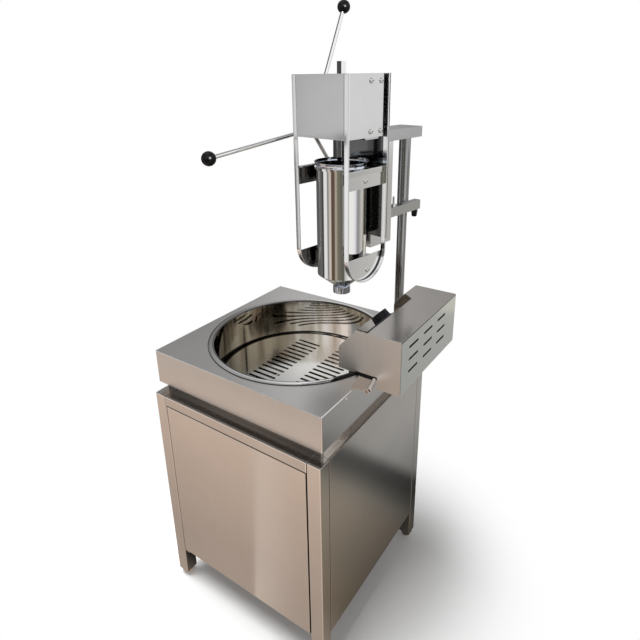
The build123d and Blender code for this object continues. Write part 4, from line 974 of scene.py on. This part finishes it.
class CHURRO_OT_head(bpy.types.Operator):
    """Dress the control head's sheets and its electrical pieces"""

    bl_idname = "churro.head"
    bl_label = "Control head"

    def execute(self, context):
        soften("head_body", "head_sheet", width=0.5 * MM)
        soften("head_cover", "sheet_deep", width=0.5 * MM)
        soften("vent_panel", "vent_sheet", width=0.4 * MM)
        soften("hook_brackets", "hook_steel", width=0.4 * MM)
        soften("thermostat_body", "cast", width=0.8 * MM)
        soften("terminal_block", "white_plastic", width=0.8 * MM)
        soften("pilot_lamps", "lamp_amber", width=0.4 * MM)
        soften("cable_gland", "black_satin", width=0.5 * MM)
        self.shadow_strips()
        self.roll()
        return {"FINISHED"}

    def shadow_strips(self):
        """Black strips that stand for shadow: the shadow in the cover's seam, and the shadow of the slot over
        the flap where it leaves the head.
        """
        head_low, head_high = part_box("head_body")
        front, top = head_low.y, head_high.z
        flap_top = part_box("hook_brackets")[1].z
        seam_deep = SEAM_END_Y - front
        seam_wide = SEAM_X - SEAM_START_X
        strips = (
            ((SEAM_WIDTH, seam_deep, STRIP_THICK), (SEAM_X, front + seam_deep / 2, top)),
            ((seam_wide, SEAM_WIDTH, STRIP_THICK), (SEAM_X - seam_wide / 2, front + SEAM_WIDTH, top)),
            ((SLOT_SHADOW_LONG, STRIP_THICK, SLOT_SHADOW_TALL), (SLOT_SHADOW_X, front, flap_top + SLOT_SHADOW_TALL / 2)),
        )
        shapes = [bar(size, Matrix.Translation(place)) for size, place in strips]
        finish_piece("head_seals", joined(shapes), "base", "black_satin")

    def roll(self):
        """The rolled edge of the front flap, over the deck's side."""
        start = Vector((*ROLL_START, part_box("hook_brackets")[1].z - ROLL_SINK))
        end = Vector((*ROLL_END, start.z))
        long = (end - start).length
        inner = ROLL_RADIUS - ROLL_EDGE
        outline = (
            (ROLL_BORE, 0), (inner, 0), (ROLL_RADIUS, ROLL_EDGE), (ROLL_RADIUS, long - ROLL_EDGE),
            (inner, long), (ROLL_BORE, long), (ROLL_BORE, 0),
        )
        place = axes_frame(start, (0, 0, 1), end - start)
        finish_piece("hook_roll", spun(outline, ROLL_STEPS, place), "base", "polished")


DIAL_SIZE = (0.084, 0.074, 0.0008)
TICK_SIZE = (0.0040, 0.0012, 0.0004)
TICK_RADIUS = 0.0337
POINTER_SIZE = (0.0150, 0.0022, 0.0006)
POINTER_RADIUS = 0.0135
KNOB_HEIGHT = 0.0255


class CHURRO_OT_knob(bpy.types.Operator):
    """Dress the thermostat knob and put its dial on the sloped panel"""

    bl_idname = "churro.knob"
    bl_label = "Thermostat knob"

    def execute(self, context):
        soften("thermostat_knob", "black_satin", width=0.6 * MM)
        pointer = bar(POINTER_SIZE, KNOB_FRAME @ Matrix.Translation((POINTER_RADIUS, 0, KNOB_HEIGHT)))
        finish_piece("knob_pointer", pointer, "thermostat_knob", "white_plastic")
        finish_piece("dial_plate", bar(DIAL_SIZE, KNOB_FRAME), "base", "dial_print")
        settings = hardware()
        step = settings.dial_sweep / (settings.dial_ticks - 1)
        mark = Matrix.Translation((TICK_RADIUS, 0, DIAL_SIZE[2] / 2))
        ticks = []
        for count in range(settings.dial_ticks):
            turn = Matrix.Rotation(count * step, 4, "Z")
            ticks.append(bar(TICK_SIZE, KNOB_FRAME @ turn @ mark))
        finish_piece("dial_ticks", joined(ticks), "base", "white_plastic")
        return {"FINISHED"}


# Press

class CHURRO_OT_arms(bpy.types.Operator):
    """Dress the post and the swing arms"""

    bl_idname = "churro.arms"
    bl_label = "Post and arms"

    def execute(self, context):
        soften("post", "post_tube", width=0.4 * MM)
        soften("post_cap", "black_satin", width=0.5 * MM)
        soften("post_brackets", "cast", width=1.5 * MM)
        soften("sleeve", "sleeve_tube", width=0.4 * MM)
        soften("column", "press_plate", width=0.8 * MM)
        for node in ("upper_arm", "lower_arm"):
            soften(node, "arm_plate", width=0.8 * MM)
        return {"FINISHED"}


LIP_HEIGHT = 15 * MM
LIP_THICK = 2.5 * MM
LIP_SHORTER = 2 * MM
STUD_SHARE = 0.56
THREAD_DEPTH = 0.55
STUD_CHAMFER = 0.3
NUT_HEIGHT = 0.9
NUT_CHAMFER = 0.1
NUT_GAP = 0.1 * MM


class CHURRO_OT_press_frame(bpy.types.Operator):
    """Dress the hoops, housing and brackets of the press"""

    bl_idname = "churro.press_frame"
    bl_label = "Press frame"

    def execute(self, context):
        soften("frame_hoops", "press_bar", width=1.4 * MM)
        for node in ("side_plates", "front_cover", "top_plate"):
            soften(node, "press_plate", width=0.5 * MM)
        soften("back_plate", "press_back", width=0.5 * MM)
        soften("saddles", "press_mirror", width=0.5 * MM)
        for node in ("rim_brackets", "moon_plates"):
            soften(node, "press_side", width=0.5 * MM)
        for node in ("rack_guide", "backing_bar", "bearing_blocks"):
            soften(node, "turned", width=0.6 * MM)
        self.lips()
        self.bolts()
        return {"FINISHED"}

    def lips(self):
        """The folded upper lip on the outside of each rim bracket."""
        shapes = []
        for low, high in islands("rim_brackets"):
            outer = high.x if high.x > -low.x else low.x
            size = (2 * LIP_THICK, high.y - low.y - LIP_SHORTER, LIP_HEIGHT)
            middle = Vector((outer, (low.y + high.y) / 2, high.z - LIP_HEIGHT / 2))
            shapes.append(bar(size, PRESS @ Matrix.Translation(middle)))
        finish_piece("bracket_lips", joined(shapes), "swing_frame", "press_mirror")

    def bolts(self):
        """Socket bolts on the plates and a threaded stud with its nut on the lower arm."""
        shapes = []
        for low, high in islands("frame_bolts"):
            middle = (low + high) / 2
            if high.z - low.z > high.x - low.x + high.y - low.y:
                shapes.extend(self.stud(low, high))
                continue
            side = math.copysign(1.0, middle.x)
            base = low.x if side > 0 else high.x
            turn = Matrix.Rotation(side * math.pi / 2, 4, "Y")
            place = PRESS @ Matrix.Translation((base, middle.y, middle.z)) @ turn
            shapes.append(socket_bolt(hardware().bolt_radius, place))
        finish_piece(
            "bolts_dressed", joined(shapes), "swing_frame", "press_mirror",
            ("frame_bolts",))

    def stud(self, low, high):
        """Thread as close rings, and a hexagon nut round its foot."""
        middle = (low + high) / 2
        place = PRESS @ Matrix.Translation((middle.x, middle.y, low.z))
        tall = high.z - low.z
        pitch = hardware().thread_pitch
        corner = (high.y - low.y) / 2
        crest = STUD_SHARE * corner
        root = crest - THREAD_DEPTH * pitch
        end = tall - STUD_CHAMFER * pitch
        thread = [(0, 0)]
        for count in range(int(tall / pitch)):
            thread += [(root, count * pitch), (crest, (count + 0.5) * pitch)]
        thread += [(root, end), (0, end)]
        bore, top, chamfer = crest + NUT_GAP, NUT_HEIGHT * corner, NUT_CHAMFER * corner
        ring = (
            (bore, 0), (corner, 0), (corner, top - chamfer), (corner - chamfer, top), (bore, top), (bore, 0),
        )

        def sides(far, angle):
            return hexagon(angle) if far > corner - chamfer / 2 else 1.0

        return spun(thread, BOLT_STEPS, place), spun(ring, BOLT_STEPS, place, sides)


class CHURRO_OT_cylinder(bpy.types.Operator):
    """Dress the dough cylinder and its nozzle"""

    bl_idname = "churro.cylinder"
    bl_label = "Cylinder and nozzle"

    def execute(self, context):
        soften("cylinder", "barrel", width=0.3 * MM)
        soften("nozzle_nut", "nozzle", width=0.6 * MM)
        soften("star_die", "turned", width=0.2 * MM)
        return {"FINISHED"}


class CHURRO_OT_ram(bpy.types.Operator):
    """Dress the rack and its piston"""

    bl_idname = "churro.ram"
    bl_label = "Rack and piston"

    def execute(self, context):
        soften("rack", "rack_bar", width=0.15 * MM)
        soften("piston", "white_plastic", width=0.8 * MM)
        soften("piston_seal", "seal_rubber", width=0.4 * MM)
        soften("piston_nut", "turned", width=0.5 * MM)
        return {"FINISHED"}


BALL_ROWS = 24
BALL_STEPS = 40


class CHURRO_OT_capstan(bpy.types.Operator):
    """Dress the capstan: pinion, shaft, hub, spokes and ball knobs"""

    bl_idname = "churro.capstan"
    bl_label = "Capstan"

    def execute(self, context):
        soften("pinion", "turned", width=0.15 * MM)
        soften("shaft", "turned", width=0.5 * MM)
        soften("hub", "turned", width=0.5 * MM)
        soften("spokes", "spoke_rod", width=0.4 * MM)
        balls = joined([self.ball(low, high) for low, high in islands("ball_knobs")])
        finish_piece("balls_dressed", balls, "capstan", "black_gloss", ("ball_knobs",))
        return {"FINISHED"}

    def ball(self, low, high):
        """A moulded ball with a flat at its spoke."""
        middle = PRESS @ ((low + high) / 2)
        radius = (high.x - low.x) / 2
        axis = Vector(JOINTS["capstan_turn"]["axis"])
        along = middle - node_middle("hub")
        along -= axis * along.dot(axis)
        start = -math.acos(hardware().ball_flat / radius)
        outline = [(0, radius * math.sin(start))]
        for row in range(BALL_ROWS + 1):
            lift = start + (math.pi / 2 - start) * row / BALL_ROWS
            outline.append((radius * math.cos(lift), radius * math.sin(lift)))
        return spun(outline, BALL_STEPS, axes_frame(middle, axis, along))


LOCK_FOOT = 8.0 * MM
LOCK_BEVEL = 1.5 * MM
LOCK_RIM = 10.4 * MM
LOCK_TOP = 9.4 * MM
LOCK_EDGE = 2.0 * MM
LOCK_TALL = 22.0 * MM
LOCK_SCREW = 4.0 * MM
RIB_DEPTH = 0.04
RIB_START = 0.9 * LOCK_FOOT


class CHURRO_OT_lock(bpy.types.Operator):
    """Dress the lock knob"""

    bl_idname = "churro.lock"
    bl_label = "Lock knob"

    def execute(self, context):
        low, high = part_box("lock_knob")
        end = high.z - low.z
        outline = (
            (0, 0), (LOCK_FOOT - LOCK_BEVEL, 0), (LOCK_FOOT, LOCK_BEVEL),
            (LOCK_RIM, LOCK_TALL - LOCK_EDGE), (LOCK_TOP, LOCK_TALL),
            (LOCK_SCREW, LOCK_TALL), (LOCK_SCREW, end), (0, end),
        )
        ribs = hardware().lock_ribs

        def grip(far, angle):
            return 1.0 - RIB_DEPTH * (1 - math.cos(ribs * angle)) if far > RIB_START else 1.0

        middle = node_middle("lock_knob")
        knob = spun(outline, 2 * ribs, Matrix.Translation((middle.x, middle.y, low.z)), grip)
        finish_piece("lock_knob_dressed", knob, "lock_knob", "black_satin", ("lock_knob",))
        return {"FINISHED"}


# Floor that the steel reflects, as stops of metres and colour

REFLECTED_FRONT = (
    (-2.0, (0.50, 0.42, 0.37)), (-1.40, (0.55, 0.46, 0.40)), (-1.15, (0.90, 0.73, 0.62)),
    (-0.85, (0.76, 0.61, 0.51)), (-0.50, (0.56, 0.46, 0.39)), (0.0, (0.52, 0.45, 0.38)),
    (2.0, (0.45, 0.43, 0.40)),
)
REFLECTED_SIDE = (
    (-2.0, (0.41, 0.34, 0.255)), (-0.12, (0.41, 0.34, 0.255)), (0.0, (0.36, 0.31, 0.25)),
    (0.22, (0.37, 0.32, 0.265)), (0.30, (0.30, 0.28, 0.245)), (0.36, (0.17, 0.167, 0.153)),
    (0.42, (0.094, 0.094, 0.09)), (0.49, (0.085, 0.085, 0.085)), (0.56, (0.44, 0.44, 0.43)),
    (0.90, (0.49, 0.49, 0.48)), (2.0, (0.56, 0.56, 0.55)),
)
SIDE_SHADOW = (
    (-2.0, 0.18), (0.25, 0.18), (0.31, 0.35), (0.36, 0.47), (0.42, 0.59), (0.50, 0.79), (0.60, 0.97),
    (0.75, 0.88), (2.0, 0.85),
)
FLOOR_REACH = 2.0
FLOOR_SIZE = 9.0
FLOOR_WHITE = (*grey(0.93), 1.0)
FLOOR_LIFT = 0.05
SHADOW_FADE = (0.38, 0.80)
SIDE_FADE = (-0.45, -0.12)
CORNER_FADE = (-0.1, 0.25)
UNDER_CABINET_SHADOW = grey(0.03)
CABINET_FADE = (-0.06, 0.02)
STREAK_ACROSS = (1.0, -0.865, 0.0)
STREAK_START = 0.3025
STREAK_WIDTH = 0.25
STREAK_COLOUR = (0.92, 0.80, 0.71)


def floor_bands(look, across, stops):
    """Colours of the reflected floor along one direction."""
    places = [((at + FLOOR_REACH) / (2 * FLOOR_REACH), colour) for at, colour in stops]
    return look.ramp(look.share(across, -FLOOR_REACH, FLOOR_REACH), *places)


def door_streak(look):
    """A painted light strip on the floor's glow, which the door shows as an upright streak with a sharp left
    edge.
    """
    across = look.vector("DOT_PRODUCT", look.place, STREAK_ACROSS)
    share = look.share(across, STREAK_START, STREAK_START + STREAK_WIDTH)
    return look.ramp(share, (0.0, 0.0), (0.03, 0.62), (0.35, 0.42), (0.85, 0.0))


def beside_cabinet(look):
    """Nothing under the cabinet and one outside it, for the shadow painted on the floor's glow under the
    cabinet.
    """
    low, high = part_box("deck")
    middle, reach = (low + high) / 2, (high - low) / 2
    inner, outer = CABINET_FADE
    beside = look.eased(look.off(look.along("X"), middle.x), reach.x + inner, reach.x + outer)
    before = look.eased(look.off(look.along("Y"), middle.y), reach.y + inner, reach.y + outer)
    return look.math("MAXIMUM", beside, before)


def floor_material():
    """Pale floor: white to the camera with the machine's shadow, and to the steel a warm glowing workshop
    floor with painted shadow beside and under the cabinet and a painted light streak.
    """
    look = Shader("pale_floor", tuple(studio().floor_colour), 0.9)
    x, y = look.along("X"), look.along("Y")

    near = look.add("ShaderNodeBsdfDiffuse", {"Color": FLOOR_WHITE})
    lift = look.add("ShaderNodeEmission", {"Strength": FLOOR_LIFT})
    lifted = look.add("ShaderNodeAddShader", {0: near.outputs[0], 1: lift.outputs[0]})
    far = look.add("ShaderNodeEmission", {"Strength": 1.0})
    shown = look.mix(look.eased(look.vector("LENGTH", look.place), *SHADOW_FADE), lifted, far)

    front = floor_bands(look, y, REFLECTED_FRONT)
    side = floor_bands(look, y, REFLECTED_SIDE)
    side = look.blend(1.0, side, floor_bands(look, x, SIDE_SHADOW), "MULTIPLY")
    side = look.blend(look.eased(y, *SIDE_FADE), front, side)
    front = look.blend(door_streak(look), front, STREAK_COLOUR)
    seen_floor = look.blend(look.eased(x, *CORNER_FADE), front, side)
    # Painted shadow under the cabinet on the floor's glow
    mirrored = look.blend(beside_cabinet(look), UNDER_CABINET_SHADOW, seen_floor)
    glow = look.add("ShaderNodeEmission", {"Color": mirrored})

    path = look.add("ShaderNodeLightPath", {}).outputs
    seen = look.mix(path["Is Camera Ray"], look.surface, shown)
    look.show(look.mix(path["Is Glossy Ray"], seen, glow))
    return look.material


# Wall that the steel reflects: bands from low to high, each as stops of degrees and colour

LOW_BANDS = (
    (-180, 0.13), (-162, 0.16), (-154, 0.06), (-147, 0.05), (-143.5, 0.90), (-127, 0.90), (-123, 0.28),
    (-117, 0.30), (-114, (0.70, 0.62, 0.56)), (-105, (0.70, 0.62, 0.56)), (-102, (0.12, 0.08, 0.06)),
    (-88, (0.14, 0.10, 0.07)), (-84, (0.48, 0.42, 0.36)), (-78, (0.45, 0.40, 0.33)),
    (-74, (0.21, 0.20, 0.16)), (-46, (0.12, 0.11, 0.09)), (-40, 0.55), (-30, 0.80), (-22, 1.00), (-6, 1.00),
    (8, (0.86, 0.85, 0.92)), (17, 0.36), (26, 0.34), (33, 0.45), (40, (0.60, 0.59, 0.56)),
    (60, (0.70, 0.68, 0.63)), (100, (0.68, 0.66, 0.60)), (120, 0.30), (150, 0.10), (180, 0.13),
)
HIGH_BANDS = (
    (-180, 0.08), (-154, 0.10), (-147, 0.74), (-126, 0.74), (-120, 0.15), (-60, 0.15), (-40, 0.50),
    (-8, 0.92), (45, 0.95), (60, 0.60), (85, 0.30), (108, 0.30), (126, 0.58), (136, 0.44), (145, 0.15),
    (180, 0.08),
)
UPPER_RIGHT = (
    (-90, 1.00), (62, 1.00), (80, 0.55), (100, 0.44), (118, 0.64), (127, 0.78), (134, 0.60), (141, 0.36),
    (180, 0.25),
)
SKY_BANDS = (
    (-180, 0.25), (-150, 0.16), (-140, 0.20), (-132, (0.70, 0.62, 0.58)), (-104, (0.70, 0.62, 0.58)),
    *UPPER_RIGHT,
)
TOP_BANDS = ((-180, 0.25), (-168, 0.18), (-152, 0.05), (-104, 0.08), *UPPER_RIGHT)
HIGH_CHANGE = (1.02, 1.18)
SKY_CHANGE = (1.70, 1.82)
TOP_CHANGE = (2.40, 2.60)
WALL_RADIUS = 2.4
WALL_HEIGHT = 4.4
WALL_STEPS = 96


def wall_bands(look, turn, bands):
    """Bands round the machine from stops in degrees."""
    return look.ramp(turn, *[((at + 180) / 360, colour) for at, colour in bands])


def wall_material():
    """Soft bands of light and dark round the machine, for the steel to show."""
    look = Shader("studio_wall", grey(0), 1.0)
    height = look.along("Z")
    bearing = look.math("ARCTAN2", look.along("Y"), look.along("X"))
    turn = look.share(bearing, -math.pi, math.pi)
    tone = wall_bands(look, turn, LOW_BANDS)
    for change, bands in ((HIGH_CHANGE, HIGH_BANDS), (SKY_CHANGE, SKY_BANDS), (TOP_CHANGE, TOP_BANDS)):
        tone = look.blend(look.eased(height, *change), tone, wall_bands(look, turn, bands))
    look.show(look.add("ShaderNodeEmission", {"Color": tone}))
    return look.material


# Stage

LAMP_SIZE = 2.6
LAMP_PLACE = (-0.75, -0.55, 3.6)
LAMP_AIM = (0.0, 0.0, 0.7)
SPARKLE_SIZE = 1.0
SPARKLE_PLACE = (1.75, -0.95, 2.05)
BLACK_KNOBS = ("balls_dressed", "lock_knob_dressed")
SENSOR_WIDTH = 36.0
CLIP = (0.05, 60.0)


class CHURRO_OT_stage(bpy.types.Operator):
    """Make the floor, the soft light, the reflected wall and the camera"""

    bl_idname = "churro.stage"
    bl_label = "Stage"

    def execute(self, context):
        scene = context.scene
        settings = studio()
        scene.view_settings.view_transform = "Standard"
        self.floor()
        self.wall()
        self.lights(scene, settings)
        self.world(scene, settings)
        self.camera(scene, settings)
        return {"FINISHED"}

    def floor(self):
        """A wide level floor."""
        bm = bmesh.new()
        bmesh.ops.create_grid(bm, x_segments=1, y_segments=1, size=FLOOR_SIZE)
        floor = placed("floor", bm, floor_material())

    def wall(self):
        """A round wall that only reflections show."""
        bm = bmesh.new()
        bmesh.ops.create_cone(
            bm, cap_ends=False, segments=WALL_STEPS, radius1=WALL_RADIUS, radius2=WALL_RADIUS,
            depth=WALL_HEIGHT, matrix=Matrix.Translation((0, 0, WALL_HEIGHT / 2)))
        bmesh.ops.reverse_faces(bm, faces=bm.faces)
        wall = placed("studio_wall", bm, wall_material())
        wall.visible_camera = False
        wall.visible_diffuse = False
        wall.visible_shadow = False
        wall.visible_transmission = False

    def lights(self, scene, settings):
        """A soft lamp for the light, a dimmer one there for the steel and one for the black knobs to show."""
        key = self.lamp(scene, "key_light", settings.key_power)
        key.visible_glossy = False
        sheen = self.lamp(scene, "sheen_light", settings.sheen_power)
        sheen.visible_diffuse = False
        sparkle = self.lamp(scene, "sparkle_light", settings.sparkle_power, SPARKLE_SIZE, SPARKLE_PLACE)
        sparkle.visible_diffuse = False
        knobs = bpy.data.collections.new("black_knobs")
        for name in BLACK_KNOBS:
            knobs.objects.link(bpy.data.objects[name])
        sparkle.light_linking.receiver_collection = knobs

    def lamp(self, scene, name, power, size=LAMP_SIZE, place=LAMP_PLACE):
        """A round area lamp that shines at the machine."""
        data = bpy.data.lights.new(name, "AREA")
        data.shape = "DISK"
        data.size = size
        data.energy = power
        lamp = bpy.data.objects.new(name, data)
        scene.collection.objects.link(lamp)
        lamp.location = place
        aim = Vector(LAMP_AIM) - lamp.location
        lamp.rotation_euler = aim.to_track_quat("-Z", "Y").to_euler()
        return lamp

    def world(self, scene, settings):
        """Air that is white to the camera and dimmer to everything else."""
        world = bpy.data.worlds.new("studio_air")
        scene.world = world
        world.use_nodes = True
        nodes = NodeTree(world.node_tree)
        path = nodes.add("ShaderNodeLightPath", {}).outputs
        seen = nodes.math("MAXIMUM", path["Is Camera Ray"], path["Is Transmission Ray"])
        level = nodes.add("ShaderNodeMapRange", {"Value": seen, "To Min": settings.ambient, "To Max": 1.0})
        air = world.node_tree.nodes["Background"]
        nodes.feed(air, {"Color": (1, 1, 1, 1), "Strength": level.outputs["Result"]})

    def camera(self, scene, settings):
        """The camera at its bearing, pitch and roll."""
        data = bpy.data.cameras.new("camera")
        data.sensor_width = SENSOR_WIDTH
        data.lens = settings.lens
        data.shift_y = settings.camera_shift
        data.clip_start, data.clip_end = CLIP
        camera = bpy.data.objects.new("camera", data)
        scene.collection.objects.link(camera)
        bearing, pitch = settings.camera_azimuth, settings.camera_pitch
        level = Vector((math.sin(bearing), -math.cos(bearing), 0))
        back = level * math.cos(pitch) + Vector((0, 0, math.sin(pitch)))
        right = Vector((math.cos(bearing), math.sin(bearing), 0))
        turn = Matrix((right, back.cross(right), back)).transposed().to_4x4()
        roll = Matrix.Rotation(settings.camera_roll, 4, "Z")
        camera.matrix_world = Matrix.Translation(settings.camera_place) @ turn @ roll
        scene.camera = camera


class CHURRO_PT_panel(bpy.types.Panel):
    """The operators and settings of the churro machine"""

    bl_idname = "CHURRO_PT_panel"
    bl_label = "Churro machine"
    bl_space_type = "VIEW_3D"
    bl_region_type = "UI"
    bl_category = "Churro machine"

    def draw(self, context):
        for operator in OPERATORS:
            self.layout.operator(operator.bl_idname)
        scene = context.scene
        for settings in (scene.churro_steel, scene.churro_studio, scene.churro_hardware):
            box = self.layout.box()
            for key in settings.__annotations__:
                box.prop(settings, key)


OPERATORS = (
    CHURRO_OT_cabinet, CHURRO_OT_door, CHURRO_OT_deck, CHURRO_OT_tank, CHURRO_OT_head, CHURRO_OT_knob,
    CHURRO_OT_arms, CHURRO_OT_press_frame, CHURRO_OT_cylinder, CHURRO_OT_ram, CHURRO_OT_capstan,
    CHURRO_OT_lock, CHURRO_OT_stage,
)
CLASSES = (SteelFinish, StudioLight, SmallHardware, *OPERATORS, CHURRO_PT_panel)


def register():
    """Register the settings, the operators and the panel."""
    for item in CLASSES:
        bpy.utils.register_class(item)
    bpy.types.Scene.churro_steel = PointerProperty(type=SteelFinish)
    bpy.types.Scene.churro_studio = PointerProperty(type=StudioLight)
    bpy.types.Scene.churro_hardware = PointerProperty(type=SmallHardware)


def unregister():
    """Take everything out again in the opposite order."""
    del bpy.types.Scene.churro_hardware
    del bpy.types.Scene.churro_studio
    del bpy.types.Scene.churro_steel
    for item in reversed(CLASSES):
        bpy.utils.unregister_class(item)


def main():
    """Dress the whole machine and set the stage."""
    register()
    bpy.ops.churro.cabinet()
    bpy.ops.churro.door()
    bpy.ops.churro.deck()
    bpy.ops.churro.tank()
    bpy.ops.churro.head()
    bpy.ops.churro.knob()
    bpy.ops.churro.arms()
    bpy.ops.churro.press_frame()
    bpy.ops.churro.cylinder()
    bpy.ops.churro.ram()
    bpy.ops.churro.capstan()
    bpy.ops.churro.lock()
    bpy.ops.churro.stage()


if __name__ == "__main__":
    main()
